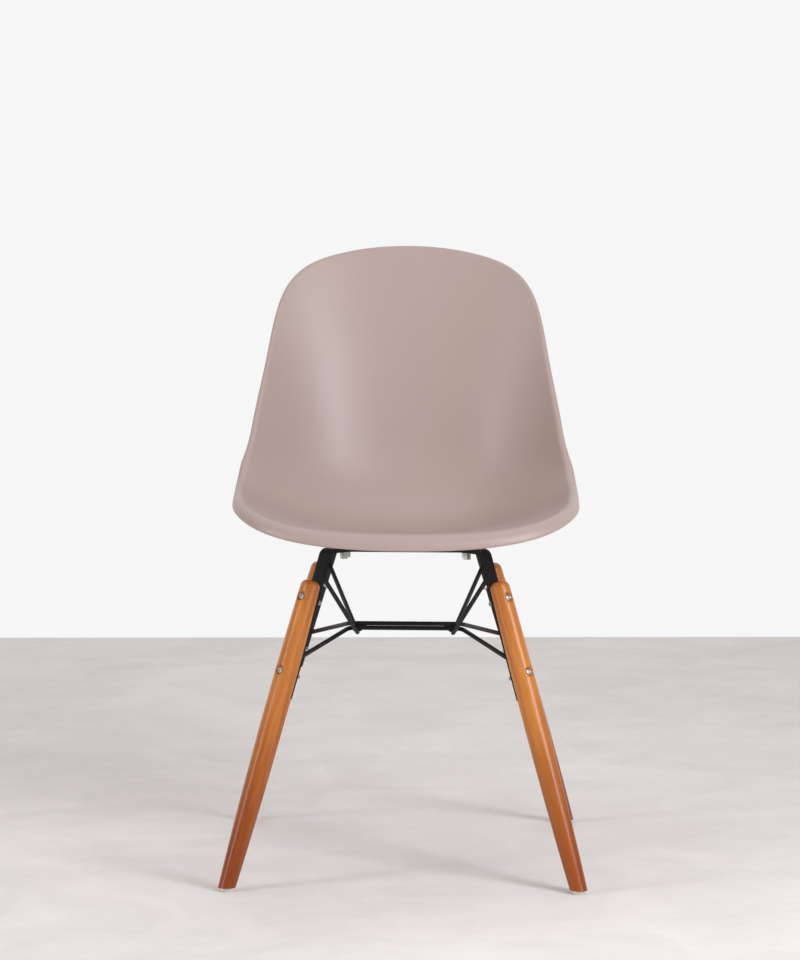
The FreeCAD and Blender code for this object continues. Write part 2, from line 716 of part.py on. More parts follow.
def seat_bolt(name, placement):
    """Make a hexagon-head bolt, head below the origin."""
    body = new_body(name)
    base = Placement(Vector(0, 0, -size("seat_head_height")), Rotation())
    head = new_sketch(body, f"{name}_head", "XY_Plane", base)
    head.setExpression("AttachmentOffset.Base.z", "-sizes.seat_head_height")
    hexagon(head, "sizes.seat_head_flats")
    pad(body, head, "sizes.seat_head_height")
    shank = new_sketch(body, f"{name}_shank", "XY_Plane")
    circle(shank, "0", "0", "sizes.bolt_diameter")
    pad(body, shank, "sizes.seat_bolt_length")
    tip = size("seat_bolt_length")
    whole = body.Tip
    feature = body.newObject("PartDesign::Chamfer", f"{name}_tip")
    feature.Base = (whole, edges_where(
        body.Shape, lambda edge: edge.isClosed() and edge.BoundBox.ZMin > tip - NEAR))
    feature.setExpression("Size", "sizes.bolt_tip")
    doc.recompute()
    body.Placement = placement
    return body


def threaded_insert(name, placement):
    """Make the grooved insert that is moulded into a boss."""
    body = new_body(name)
    outer = "(sizes.insert_bore - sizes.insert_clearance) / 2"
    groove = f"{outer} - sizes.insert_groove"
    length = "sizes.insert_length"
    inner = "(sizes.bolt_diameter + sizes.thread_clearance) / 2"
    profile = new_sketch(body, f"{name}_profile", "XZ_Plane")
    polygon(profile, [
        (inner, "0"), (outer, "0"), (outer, f"{length} * 0.3"), (groove, f"{length} * 0.35"),
        (groove, f"{length} * 0.6"), (outer, f"{length} * 0.65"), (outer, length), (inner, length),
    ])
    revolve(body, profile)
    body.Placement = placement
    return body


def glide(name, placement):
    """Make a nylon glide, its underside at the origin."""
    body = new_body(name)
    radius = "sizes.glide_diameter / 2"
    height = "sizes.glide_height"
    bore = "(sizes.nail_diameter + sizes.nail_clearance) / 2"
    recess = "(sizes.nail_head_diameter + sizes.nail_head_clearance) / 2"
    depth = "sizes.nail_head_depth"
    profile = new_sketch(body, f"{name}_profile", "XZ_Plane")
    polygon(profile, [
        (recess, "0"), (radius, "0"), (radius, height), (bore, height),
        (bore, depth), (recess, depth),
    ])
    revolve(body, profile)
    rim = size("glide_diameter") / 2
    round_edges(body, f"{name}_round", "sizes.glide_round",
                lambda edge: edge.isClosed() and edge.BoundBox.ZMax < NEAR
                and edge.BoundBox.XMax > rim - NEAR)
    body.Placement = placement
    return body


def glide_nail(name, placement):
    """Make the nail that holds a glide, its head at the bottom of the recess."""
    body = new_body(name)
    shank = "sizes.nail_diameter / 2"
    head = "sizes.nail_head_diameter / 2"
    seat = "sizes.nail_head_depth"
    thick = "sizes.nail_head_height"
    tip = f"{seat} + sizes.nail_length"
    profile = new_sketch(body, f"{name}_profile", "XZ_Plane")
    polygon(profile, [
        ("0", f"{seat} - {thick}"), (head, f"{seat} - {thick}"), (head, seat), (shank, seat),
        (shank, f"{tip} - sizes.nail_point"), ("0", tip),
    ])
    revolve(body, profile)
    body.Placement = placement
    return body


# The shell: rings of poles from the middle of the sitting surface out to the rolled rim


def blend(stations, place):
    """Read a smooth curve through stations of (place, value)."""
    if place <= stations[0][0]:
        return stations[0][1]
    if place >= stations[-1][0]:
        return stations[-1][1]
    index = next(i for i in range(len(stations) - 1) if place <= stations[i + 1][0])

    def slope(at):
        low = stations[max(at - 1, 0)]
        high = stations[min(at + 1, len(stations) - 1)]
        return (high[1] - low[1]) / (high[0] - low[0])

    (start, first), (stop, second) = stations[index], stations[index + 1]
    gap = stop - start
    q = (place - start) / gap
    return (first * (2 * q**3 - 3 * q**2 + 1) + slope(index) * gap * (q**3 - 2 * q**2 + q)
            + second * (3 * q**2 - 2 * q**3) + slope(index + 1) * gap * (q**3 - q**2))


def middle_line():
    """List the points of the middle line at equal steps, a little past its end."""
    y = -size("shell_front") - size("feet_forward")
    z = size("shell_crest_height")
    step = 1.1 / PROFILE_STEPS
    points = []
    for index in range(PROFILE_STEPS + 1):
        share = index * step
        points.append((y, z))
        heading = math.radians(blend(SLOPES, share + step / 2))
        y += step * size("shell_length") * math.cos(heading)
        z += step * size("shell_length") * math.sin(heading)
    return points


LINE = middle_line()


def sitting_surface(x, share):
    """Give the point of the sitting surface at a distance off the middle and a share of length."""
    place = min(max(share, 0) / 1.1 * PROFILE_STEPS, PROFILE_STEPS - 1e-6)
    index = int(place)
    part = place - index
    (y0, z0), (y1, z1) = LINE[index], LINE[index + 1]
    reach = blend(REACH, share) * size("shell_half_width")
    rise = blend(DISH, share) * size("dish_depth") * (abs(x) / reach) ** DISH_POWER
    leaning = math.radians(blend(RISE, share))
    y = y0 + (y1 - y0) * part - rise * math.sin(leaning)
    z = z0 + (z1 - z0) * part + rise * math.cos(leaning)
    return Vector(x, y, z)


def rim_stations():
    """Space points evenly round the crest of the rim, as (x, share of length)."""
    half = size("shell_half_width")
    length = size("shell_length")
    right = [Vector(x * half, share * length, 0) for x, share in RIM]
    left = [Vector(-spot.x, spot.y, 0) for spot in reversed(right[1:-1])]
    curve = Part.BSplineCurve()
    curve.interpolate(Points=right + left, PeriodicFlag=True)
    spots = curve.toShape().discretize(SHELL_COLUMNS + 1)[:-1]
    return [(spot.x, spot.y / length) for spot in spots]


def inner_rows():
    """Work out the rows of poles of the inner surface, from the middle out to the rolled edge."""
    stations = rim_stations()
    centre = sitting_surface(0, SHELL_MIDDLE)
    rows = [[centre] * SHELL_COLUMNS]
    heading = math.radians(blend(SLOPES, SHELL_MIDDLE))
    facing = Vector(0, -math.sin(heading), math.cos(heading))
    for ring in range(1, SHELL_RINGS + 1):
        out = ring / SHELL_RINGS
        row = [
            sitting_surface(x * out, SHELL_MIDDLE + (share - SHELL_MIDDLE) * out)
            for x, share in stations
        ]
        if ring == 1:
            # The first ring is flat, which keeps the surface smooth at its centre.
            row = [spot - facing * facing.dot(spot - centre) for spot in row]
        rows.append(row)
    crest = rows[-1]
    below = rows[-2]
    rolls = [(0.0, size("front_roll")), (0.01, size("front_roll") * 0.91),
             (0.03, size("front_roll") * 0.84), (0.08, size("front_roll") * 0.76),
             (0.29, size("side_roll")), (0.56, size("side_roll") * 0.74),
             (0.97, size("top_roll") * 1.1), (1.07, size("top_roll"))]
    for step in range(1, ROLL_ROWS + 1):
        row = []
        for column, (x, share) in enumerate(stations):
            ahead = crest[(column + 1) % SHELL_COLUMNS] - crest[column - 1]
            normal = (crest[column] - below[column]).cross(ahead).normalize()
            across = ahead.cross(normal).normalize()
            radius = blend(rolls, share)
            angle = math.radians(blend(ROLL_TURN, share)) * step / ROLL_ROWS
            row.append(crest[column] + across * (radius * math.sin(angle))
                       - normal * (radius * (1 - math.cos(angle))))
        rows.append(row)
    return rows


def outer_rows(rows):
    """Offset the inner rows by the wall, square to the surface."""
    wall = size("shell_wall")
    last = len(rows) - 1
    heading = math.radians(blend(SLOPES, SHELL_MIDDLE))
    centre = rows[0][0] + Vector(0, math.sin(heading), -math.cos(heading)) * wall
    offset = [[centre] * SHELL_COLUMNS]
    for number in range(1, last + 1):
        row = []
        for column in range(SHELL_COLUMNS):
            ahead = rows[number][(column + 1) % SHELL_COLUMNS] - rows[number][column - 1]
            outward = rows[min(number + 1, last)][column] - rows[number - 1][column]
            normal = ahead.cross(outward).normalize()
            row.append(rows[number][column] + normal * wall)
        offset.append(row)
    return offset


def through(before, here, after):
    """Move a pole out so that the smooth curve passes through its point, not inside it."""
    return here - (before - here * 2 + after) / 6


def ring_surface(rows):
    """Make a smooth face through rows of points that each run once round the shell."""
    degree = 3
    spans = len(rows) - degree
    row_knots = list(range(spans + 1))
    row_counts = [degree + 1] + [1] * (spans - 1) + [degree + 1]
    columns = range(SHELL_COLUMNS)
    poles = [
        [through(row[column - 1], row[column], row[(column + 1) % SHELL_COLUMNS])
         for column in columns]
        for row in rows
    ]
    if len(rows) > 6:
        inside = [
            [through(poles[number - 1][column], poles[number][column], poles[number + 1][column])
             for column in columns]
            for number in range(2, len(poles) - 2)
        ]
        poles[2:-2] = inside
    surface = Part.BSplineSurface()
    surface.buildFromPolesMultsKnots(
        poles, row_counts, [1] * (SHELL_COLUMNS + 1), row_knots,
        list(range(SHELL_COLUMNS + 1)), False, True, degree, degree)
    return surface.toShape()


def shell_skin():
    """Close the inner and outer surfaces round the edge into one solid."""
    inner = inner_rows()
    outer = outer_rows(inner)
    swell = 2 / 3 * size("shell_wall")
    ways = [(last - before).normalize() for before, last in zip(inner[-2], inner[-1])]
    edge = [
        inner[-1],
        [spot + way * swell for spot, way in zip(inner[-1], ways)],
        [spot + way * swell for spot, way in zip(outer[-1], ways)],
        outer[-1],
    ]
    faces = [ring_surface(inner), ring_surface(edge), ring_surface(outer)]
    sewn = Part.Shell(faces)
    solid = Part.Solid(sewn)
    if solid.Volume < 0:
        solid.reverse()
    return solid


def seat_spots():
    """List the four mounting places: name, x, y, underside of the strap."""
    spots = []
    for corner, (side, end) in CORNERS.items():
        height = size("front_bar_height" if end < 0 else "rear_bar_height")
        y = end * size("bar_row") - size("feet_forward")
        spots.append((corner, side * size("seat_bolt_half_span"), y, height))
    return spots


def share_at(x, y):
    """Find the share of length at which the sitting surface passes a plan position."""
    low, high = 0.0, 0.5
    for _ in range(40):
        middle = (low + high) / 2
        if sitting_surface(x, middle).y < y:
            low = middle
        else:
            high = middle
    return (low + high) / 2


def boss(x, y, bar_top):
    """Make one mounting boss, its top buried in the middle of the wall."""
    share = share_at(x, y)
    here = sitting_surface(x, share)
    along = sitting_surface(x, share + 0.01) - here
    across = sitting_surface(x + 1, share) - here
    normal = along.cross(across).normalize()
    if normal.z < 0:
        normal = -normal
    radius = size("boss_diameter") / 2
    post = Part.makeCylinder(radius, here.z - bar_top + radius, Vector(x, y, bar_top))
    reach = 6 * radius
    top = Part.makeBox(reach, reach, reach)
    top.Placement = Placement(here - normal * (size("shell_wall") / 2),
                              Rotation(Vector(0, 0, 1), normal))
    top.translate(top.Placement.Rotation.multVec(Vector(-reach / 2, -reach / 2, 0)))
    return post.cut(top)


def seat_shell():
    """Fuse the bosses to the shell and bore them for the inserts."""
    shape = shell_skin()
    for name, x, y, height in seat_spots():
        shape = shape.fuse(boss(x, y, height + size("bar_thickness")))
    moulding = doc.addObject("Part::Feature", "shell_moulding")
    moulding.Shape = shape
    bores = []
    for name, x, y, height in seat_spots():
        bore = doc.addObject("Part::Cylinder", f"{name}_insert_bore")
        bore.setExpression("Radius", "sizes.insert_bore / 2")
        bore.setExpression("Height", "sizes.insert_bore_depth")
        bore.Placement = Placement(Vector(x, y, height + size("bar_thickness")), Rotation())
        bores.append(bore)
    tools = doc.addObject("Part::MultiFuse", "insert_bores")
    tools.Shapes = bores
    cut = doc.addObject("Part::Cut", "seat_shell")
    cut.Base = moulding
    cut.Tool = tools
    cut.Label = "seat_shell"
    doc.recompute()
    finished.append(cut)
    return cut


def place_straps():
    """Work out the sizes that follow from where the straps meet the seat and the legs."""
    heights = []
    for end, facing in (("front", -1), ("rear", 1)):
        x = size("seat_bolt_half_span")
        y = facing * size("bar_row") - size("feet_forward")
        seat = sitting_surface(x, share_at(x, y)).z - size("shell_wall")
        height = seat - size(f"{end}_boss_height") - size("bar_thickness")
        heights.append((f"{end}_bar_height", height, f"underside of the {end} strap"))
    write_sizes(heights, len(SIZES) + 1)
    rest = [
        ("knee_half_span", "=seat_bolt_half_span - knee_inset", "turn of the straps"),
        ("leg_heading", "=atan((foot_half_depth - bar_row) / (foot_half_span - knee_half_span))"
         " / 1deg", "degrees from X to the legs in plan"),
        ("tie_height", "=front_bar_height - tie_drop", "axis of the lower tie rod"),
    ]
    for end in ("front", "rear"):
        length = (f"=({end}_bar_height + bar_thickness - {end}_leg_drop - glide_height)"
                  f" / cos({end}_leg_tilt * 1deg)")
        rest.append((f"{end}_leg_length", length, "along the axis, foot to top"))
    write_sizes(rest, len(SIZES) + len(heights) + 1)


def build():
    """Build every piece of the chair."""
    place_straps()
    seat_shell()
    straps = {end: strap(end) for end in ("front", "rear")}
    for end in ("front", "rear"):
        tie_rod(end, [straps[end]])
    for side in ("left", "right"):
        side_brace(side, [straps["front"], straps["rear"]])

    for name, x, y, height in seat_spots():
        washer_place = height - size("seat_washer_height")
        lock_place = washer_place - size("lock_washer_height")
        threaded_insert(f"{name}_seat_insert",
                        Placement(Vector(x, y, height + size("bar_thickness")), Rotation()))
        washer(f"{name}_seat_washer", "sizes.seat_washer_diameter", "sizes.seat_washer_height",
               Placement(Vector(x, y, washer_place), Rotation()))
        lock_washer(f"{name}_lock_washer", Placement(Vector(x, y, lock_place), Rotation()))
        seat_bolt(f"{name}_seat_bolt",
                  Placement(Vector(x, y, lock_place), Rotation(Vector(0, 0, 1), 30)))

    for corner in CORNERS:
        leg(corner)
        end = corner.split("_")[0]
        frame = leg_frame(corner)
        for name, along, seat in bolt_axes(end):
            face = value_of(seat) + size("leg_washer_height")
            place = frame * Placement(Vector(-face, 0, value_of(along)), ACROSS_LEG)
            washer(f"{corner}_{name}_leg_washer", "sizes.leg_washer_diameter",
                   "sizes.leg_washer_height", place)
            leg_bolt(f"{corner}_{name}_leg_bolt", place)
        foot = Placement(Vector(frame.Base.x, frame.Base.y, 0), Rotation())
        glide(f"{corner}_glide", foot)
        glide_nail(f"{corner}_glide_nail", foot)


def check_and_write():
    """Refuse a failed object, then write one STEP file for each piece."""
    doc.recompute()
    for item in doc.Objects:
        if "Invalid" in item.State or "Error" in item.State:
            raise RuntimeError(f"{item.Label} failed: {item.State}")
    for item in finished:
        shape = item.Shape
        if shape.isNull() or not shape.isValid():
            raise RuntimeError(f"{item.Label} has no valid shape")
        if len(shape.Solids) != 1:
            raise RuntimeError(f"{item.Label} has {len(shape.Solids)} solids")
    os.makedirs("parts", exist_ok=True)
    for item in finished:
        item.Shape.exportStep(f"parts/{item.Label}.step")
        print(item.Label, round(item.Shape.Volume), "mm3")


build()
check_and_write()
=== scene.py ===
"""Moulded plastic shell chair on dowel legs: finishes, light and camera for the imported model."""
import logging
import math
import random
from collections.abc import Sequence
from dataclasses import dataclass, field
from enum import Enum
from typing import ClassVar

import bmesh
import bpy
import numpy as np
from mathutils import Matrix, Vector


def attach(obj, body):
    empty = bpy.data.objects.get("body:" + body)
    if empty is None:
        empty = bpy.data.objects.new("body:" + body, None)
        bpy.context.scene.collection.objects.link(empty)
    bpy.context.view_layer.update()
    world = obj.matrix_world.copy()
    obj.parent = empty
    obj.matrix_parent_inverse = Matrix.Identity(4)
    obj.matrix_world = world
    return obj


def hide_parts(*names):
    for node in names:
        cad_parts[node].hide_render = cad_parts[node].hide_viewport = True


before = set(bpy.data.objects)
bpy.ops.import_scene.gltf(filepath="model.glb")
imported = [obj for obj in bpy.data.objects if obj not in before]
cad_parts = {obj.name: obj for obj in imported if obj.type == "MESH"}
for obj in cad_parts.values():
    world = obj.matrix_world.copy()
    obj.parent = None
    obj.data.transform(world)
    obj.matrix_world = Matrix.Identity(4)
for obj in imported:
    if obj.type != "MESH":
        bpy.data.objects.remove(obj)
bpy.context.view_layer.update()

LOG = logging.getLogger("shell_chair")
ROOT = "root"

# The middle of the feet stands this far in front of the origin, in metres.
FEET_FORWARD = 0.0168

# The straps: undersides above the floor, rows before and behind the feet's middle, thickness.
BAR_HEIGHTS = {"front": 0.43002, "rear": 0.40853}
BAR_ROW = 0.098
BAR_THICKNESS = 0.006

# Side of the view and end of the chair at each corner, -1 for left and for front.
CORNERS = {"front_left": (-1, -1), "front_right": (1, -1),
           "rear_right": (1, 1), "rear_left": (-1, 1)}
ENDS = {-1: "front", 1: "rear"}

# Points of a CAD mesh that lie closer than this, in metres, are one.
CAD_MERGE = 0.000002

Colour = tuple[float, float, float]
Stations = Sequence[tuple[float, float]]


def station_slope(stations: Stations, at: int) -> float:
    """Give the slope of the curve at a station from its neighbours.

    Args:
        stations: Pairs of place and value, in rising order of place.
        at: Number of the station.

    Returns:
        The slope, one-sided at both ends.
    """
    low = stations[max(at - 1, 0)]
    high = stations[min(at + 1, len(stations) - 1)]
    return (high[1] - low[1]) / (high[0] - low[0])


def blend_stations(stations: Stations, place: float) -> float:
    """Read a smooth curve through stations.

    Args:
        stations: Pairs of place and value, in rising order of place.
        place: Where to read the curve.

    Returns:
        The value of the curve, held level past both ends.
    """
    if place <= stations[0][0]:
        return stations[0][1]
    if place >= stations[-1][0]:
        return stations[-1][1]
    index = next(i for i in range(len(stations) - 1) if place <= stations[i + 1][0])
    (start, first), (stop, second) = stations[index], stations[index + 1]
    gap = stop - start
    leaving = station_slope(stations, index) * gap
    arriving = station_slope(stations, index + 1) * gap
    q = (place - start) / gap
    return (first * (2 * q**3 - 3 * q**2 + 1) + leaving * (q**3 - 2 * q**2 + q)
            + second * (3 * q**2 - 2 * q**3) + arriving * (q**3 - q**2))


def closed_track(spots: np.ndarray, steps: int) -> np.ndarray:
    """Walk the closed cubic curve through spots in a plane.

    Args:
        spots: The spots in order, one a row.
        steps: Points from each spot to the next.

    Returns:
        The points of the curve, which ends on its first point.
    """
    count = len(spots)
    gaps = np.linalg.norm(np.roll(spots, -1, axis=0) - spots, axis=1)
    before = np.roll(gaps, 1)
    system = np.zeros((count, count))
    pull = np.zeros((count, 2))
    for index in range(count):
        after = (index + 1) % count
        system[index, index - 1] += before[index]
        system[index, index] += 2 * (before[index] + gaps[index])
        system[index, after] += gaps[index]
        pull[index] = 6 * ((spots[after] - spots[index]) / gaps[index]
                           - (spots[index] - spots[index - 1]) / before[index])
    # Second derivatives of the curve at the spots.
    bend = np.linalg.solve(system, pull)
    track = []
    for index in range(count):
        after = (index + 1) % count
        gap = gaps[index]
        for q in np.linspace(0.0, 1.0, steps, endpoint=False):
            track.append((1 - q) * spots[index] + q * spots[after]
                         + gap**2 / 6 * (((1 - q)**3 - (1 - q)) * bend[index]
                                         + (q**3 - q) * bend[after]))
    track.append(track[0])
    return np.array(track)


class Slot(Enum):
    """Material slots of the chair's pieces."""

    SHELL = "shell_plastic"
    WOOD = "leg_wood"
    BLACK = "black_metal"
    STEEL = "steel"
    BRASS = "insert_brass"
    NYLON = "glide_nylon"


@dataclass(frozen=True)
class Pattern:
    """A noise over a surface, in repeats a metre."""

    scale: float
    detail: float = 2.0
    roughness: float = 0.5
    distortion: float = 0.0
    stretch: tuple[float, float, float] | None = None


class Signal:
    """A shader socket that takes part in arithmetic."""

    def __init__(self, shader: "Shader", socket: bpy.types.NodeSocket) -> None:
        """Hold a socket and the shader that it belongs to."""
        self.shader = shader
        self.socket = socket

    def _maths(self, operation: str, *values: object) -> "Signal":
        """Add a Math node and give its result."""
        return self.shader.node("ShaderNodeMath", {"operation": operation},
                                dict(enumerate(values)))

    def __add__(self, other: object) -> "Signal":
        """Add."""
        return self._maths("ADD", self, other)

    def __radd__(self, other: object) -> "Signal":
        """Add, reflected."""
        return self._maths("ADD", other, self)

    def __mul__(self, other: object) -> "Signal":
        """Multiply."""
        return self._maths("MULTIPLY", self, other)

    def __rmul__(self, other: object) -> "Signal":
        """Multiply, reflected."""
        return self._maths("MULTIPLY", other, self)


class Shader:
    """A material's node tree, with its principled shader ready."""

    def __init__(self, name: str) -> None:
        """Start a material.

        Args:
            name: Name of the material.
        """
        self.material = bpy.data.materials.new(name)
        self.material.use_nodes = True
        self.tree = self.material.node_tree
        self.body = self.tree.nodes["Principled BSDF"]
        self.output = self.tree.nodes["Material Output"]

    def node(self, kind: str, settings: dict[str, object] | None = None,
             inputs: dict[object, object] | None = None, output: object = 0) -> Signal:
        """Add a node.

        Args:
            kind: Type of the node.
            settings: Properties that are set before its sockets.
            inputs: Values or signals by the name or number of each input.
            output: Name or number of the output to give back.

        Returns:
            The chosen output.
        """
        made = self.tree.nodes.new(kind)
        for key, value in (settings or {}).items():
            if key == "stops":
                self._set_stops(made.color_ramp, value)
            else:
                setattr(made, key, value)
        for key, value in (inputs or {}).items():
            self.feed(made.inputs[key], value)
        return Signal(self, made.outputs[output])

    @staticmethod
    def _set_stops(ramp: bpy.types.ColorRamp, stops: list[tuple[float, Colour]]) -> None:
        """Place the stops of a colour ramp.

        Args:
            ramp: The ramp.
            stops: Pairs of place and colour, in rising order of place.
        """
        while len(ramp.elements) < len(stops):
            ramp.elements.new(1.0)
        for element, (place, colour) in zip(ramp.elements, stops):
            element.position = place
            element.color = (*colour, 1.0)

    def feed(self, socket: bpy.types.NodeSocket, value: object) -> None:
        """Link a signal to a socket, or set the socket to a plain value.

        Args:
            socket: The input.
            value: A signal, a number, a vector or a colour.
        """
        if isinstance(value, Signal):
            self.tree.links.new(value.socket, socket)
        elif isinstance(value, (tuple, list)) and socket.type == "RGBA":
            socket.default_value = (*value, 1.0)
        else:
            socket.default_value = value

    def set(self, **values: object) -> None:
        """Feed sockets of the principled shader, named with underscores for spaces."""
        for key, value in values.items():
            self.feed(self.body.inputs[key.replace("_", " ")], value)

    def place(self) -> Signal:
        """Give the object coordinates, in metres."""
        return self.node("ShaderNodeTexCoord", output="Object")

    def attribute(self, name: str) -> Signal:
        """Give a vector attribute of the mesh."""
        return self.node("ShaderNodeAttribute", {"attribute_name": name}, output="Vector")

    def noise(self, vector: Signal, pattern: Pattern) -> Signal:
        """Add a noise.

        Args:
            vector: Coordinates, in metres.
            pattern: The noise to lay over them.

        Returns:
            The noise, from 0 to 1.
        """
        if pattern.stretch is not None:
            vector = self.node("ShaderNodeMapping", {"vector_type": "POINT"},
                               {"Vector": vector, "Scale": pattern.stretch})
        return self.node("ShaderNodeTexNoise", {"noise_dimensions": "3D"},
                         {"Vector": vector, "Scale": pattern.scale, "Detail": pattern.detail,
                          "Roughness": pattern.roughness,
                          "Distortion": pattern.distortion}, "Fac")

    def between(self, value: Signal, low: float, high: float,
                to_low: float = 0.0, to_high: float = 1.0) -> Signal:
        """Map a range onto another and clamp it."""
        return self.node("ShaderNodeMapRange", {"clamp": True},
                         {"Value": value, "From Min": low, "From Max": high,
                          "To Min": to_low, "To Max": to_high}, "Result")

    def mix(self, factor: object, first: object, second: object,
            blend: str = "MIX") -> Signal:
        """Mix two colours."""
        return self.node("ShaderNodeMix", {"data_type": "RGBA", "blend_type": blend},
                         {0: factor, 6: first, 7: second}, 2)

    def bump(self, height: Signal, distance: float, strength: float = 0.5) -> Signal:
        """Give a normal from a height."""
        return self.node("ShaderNodeBump", None, {"Height": height, "Distance": distance,
                                                  "Strength": strength})

    def about(self, value: Signal, middle: float, less: float, more: float) -> Signal:
        """Map the usual range of a noise to a little less and more than a middle value."""
        return self.between(value, 0.3, 0.7, middle - less, middle + more)


@dataclass(frozen=True)
class ShellPlastic:
    """Warm taupe moulded plastic with a soft sheen and a fine moulded grain."""

    colour: Colour = (0.452, 0.345, 0.312)
    deeper: Colour = (0.432, 0.326, 0.293)
    cloud: Pattern = Pattern(9.0, 3.0, 0.55)
    flow: Pattern = Pattern(1.0, 4.0, 0.6, stretch=(14.0, 6.0, 6.0))
    fine: Pattern = Pattern(1500.0)
    coarse: Pattern = Pattern(420.0)
    roughness: float = 0.41
    grain_height: float = 0.00003

    def material(self) -> bpy.types.Material:
        """Build the material.

        Returns:
            The finished material.
        """
        shader = Shader("shell_plastic")
        place = shader.place()
        cloud = shader.noise(place, self.cloud)
        flow = shader.noise(place, self.flow)
        grain = shader.noise(place, self.fine) * 0.6 + shader.noise(place, self.coarse) * 0.4
        shader.set(Base_Color=shader.mix(cloud, self.colour, self.deeper),
                   Roughness=shader.about(flow, self.roughness, 0.03, 0.03),
                   Normal=shader.bump(grain, self.grain_height, 0.6), IOR=1.5)
        return shader.material


@dataclass(frozen=True)
class LegWood:
    """Stained and varnished hardwood, grain along the leg, painted shade darker at the foot."""

    light: Colour = (0.68, 0.262, 0.050)
    middle: Colour = (0.48, 0.146, 0.019)
    dark: Colour = (0.26, 0.066, 0.009)
    # Painted shade: the colour multiplied into the wood at the foot.
    foot: Colour = (0.54, 0.31, 0.08)
    bands: Pattern = Pattern(1.0, 3.0, 0.55, 0.4, stretch=(42.0, 42.0, 2.2))
    streaks: Pattern = Pattern(1.0, 3.0, 0.6, stretch=(170.0, 170.0, 14.0))
    flecks: Pattern = Pattern(1.0, 2.0, 0.6, stretch=(900.0, 900.0, 55.0))
    dark_until: float = 0.28
    middle_at: float = 0.47
    light_from: float = 0.66
    pore_share: float = 0.42
    # Painted shade: it fades out between these distances up the leg from its foot, in metres.
    painted_shade_from: float = 0.05
    painted_shade_to: float = 0.27
    relief: float = 0.00008
    roughness: float = 0.42
    bare_shine: float = 0.25
    varnish: float = 0.40
    varnish_roughness: float = 0.24

    def material(self) -> bpy.types.Material:
        """Build the material.

        Returns:
            The finished material.
        """
        shader = Shader("leg_wood")
        grain = shader.attribute("grain")
        bands = shader.noise(grain, self.bands)
        streaks = shader.noise(grain, self.streaks)
        flecks = shader.noise(grain, self.flecks)
        stops = [(self.dark_until, self.dark), (self.middle_at, self.middle),
                 (self.light_from, self.light)]
        tone = shader.node("ShaderNodeValToRGB", {"stops": stops},
                           {"Fac": bands * 0.7 + streaks * 0.3})
        pores = shader.between(flecks, 0.60, 0.74) * self.pore_share
        tone = shader.mix(pores, tone, self.dark)
        height = shader.node("ShaderNodeSeparateXYZ", None, {"Vector": grain}, "Z")
        # Painted shade: the wood is multiplied darker towards the foot.
        low = shader.between(height, self.painted_shade_from, self.painted_shade_to, 1.0, 0.0)
        shader.set(Base_Color=shader.mix(low, tone, self.foot, "MULTIPLY"),
                   Roughness=shader.about(streaks, self.roughness, 0.05, 0.06),
                   Normal=shader.bump(streaks * 0.5 + flecks * 0.5, self.relief),
                   Specular_IOR_Level=self.bare_shine, Coat_Weight=self.varnish,
                   Coat_Roughness=self.varnish_roughness)
        return shader.material


@dataclass(frozen=True)
class BlackCoat:
    """Black powder coat on steel, with a faint orange-peel surface."""

    colour: Colour = (0.005, 0.005, 0.006)
    dusty: Colour = (0.010, 0.010, 0.011)
    cloud: Pattern = Pattern(60.0, 3.0, 0.6)
    peel: Pattern = Pattern(900.0, 1.0)
    peel_height: float = 0.00006
    roughness: float = 0.40
    shine: float = 0.28

    def material(self) -> bpy.types.Material:
        """Build the material.

        Returns:
            The finished material.
        """
        shader = Shader("black_metal")
        place = shader.place()
        cloud = shader.noise(place, self.cloud)
        peel = shader.noise(place, self.peel)
        shader.set(Base_Color=shader.mix(cloud, self.colour, self.dusty),
                   Roughness=shader.about(cloud, self.roughness, 0.05, 0.06),
                   Specular_IOR_Level=self.shine, Normal=shader.bump(peel, self.peel_height))
        return shader.material


@dataclass(frozen=True)
class BareMetal:
    """Plated or bare metal with fine marks."""

    name: str
    colour: Colour
    darker: Colour
    roughness: float
    marks: Pattern = Pattern(700.0, 3.0, 0.65)
    cloud: Pattern = Pattern(160.0)
    mark_depth: float = 0.00003

    def material(self) -> bpy.types.Material:
        """Build the material.

        Returns:
            The finished material.
        """
        shader = Shader(self.name)
        place = shader.place()
        marks = shader.noise(place, self.marks)
        cloud = shader.noise(place, self.cloud)
        shader.set(Base_Color=shader.mix(cloud, self.colour, self.darker), Metallic=1.0,
                   Roughness=shader.about(marks, self.roughness, 0.07, 0.08),
                   Normal=shader.bump(marks, self.mark_depth))
        return shader.material


@dataclass(frozen=True)
class GlideNylon:
    """White nylon, a little scuffed."""

    colour: Colour = (0.78, 0.78, 0.75)
    scuffed: Colour = (0.66, 0.65, 0.61)
    scuffs: Pattern = Pattern(320.0, 4.0, 0.65)
    scuff_depth: float = 0.00006
    roughness: float = 0.42
    translucence: float = 0.15
    light_depth: float = 0.003

    def material(self) -> bpy.types.Material:
        """Build the material.

        Returns:
            The finished material.
        """
        shader = Shader("glide_nylon")
        scuffs = shader.noise(shader.place(), self.scuffs)
        worn = shader.between(scuffs, 0.45, 0.75)
        shader.set(Base_Color=shader.mix(worn, self.colour, self.scuffed),
                   Roughness=shader.about(scuffs, self.roughness, 0.06, 0.12),
                   Normal=shader.bump(scuffs, self.scuff_depth),
                   Subsurface_Weight=self.translucence, Subsurface_Scale=self.light_depth)
        return shader.material


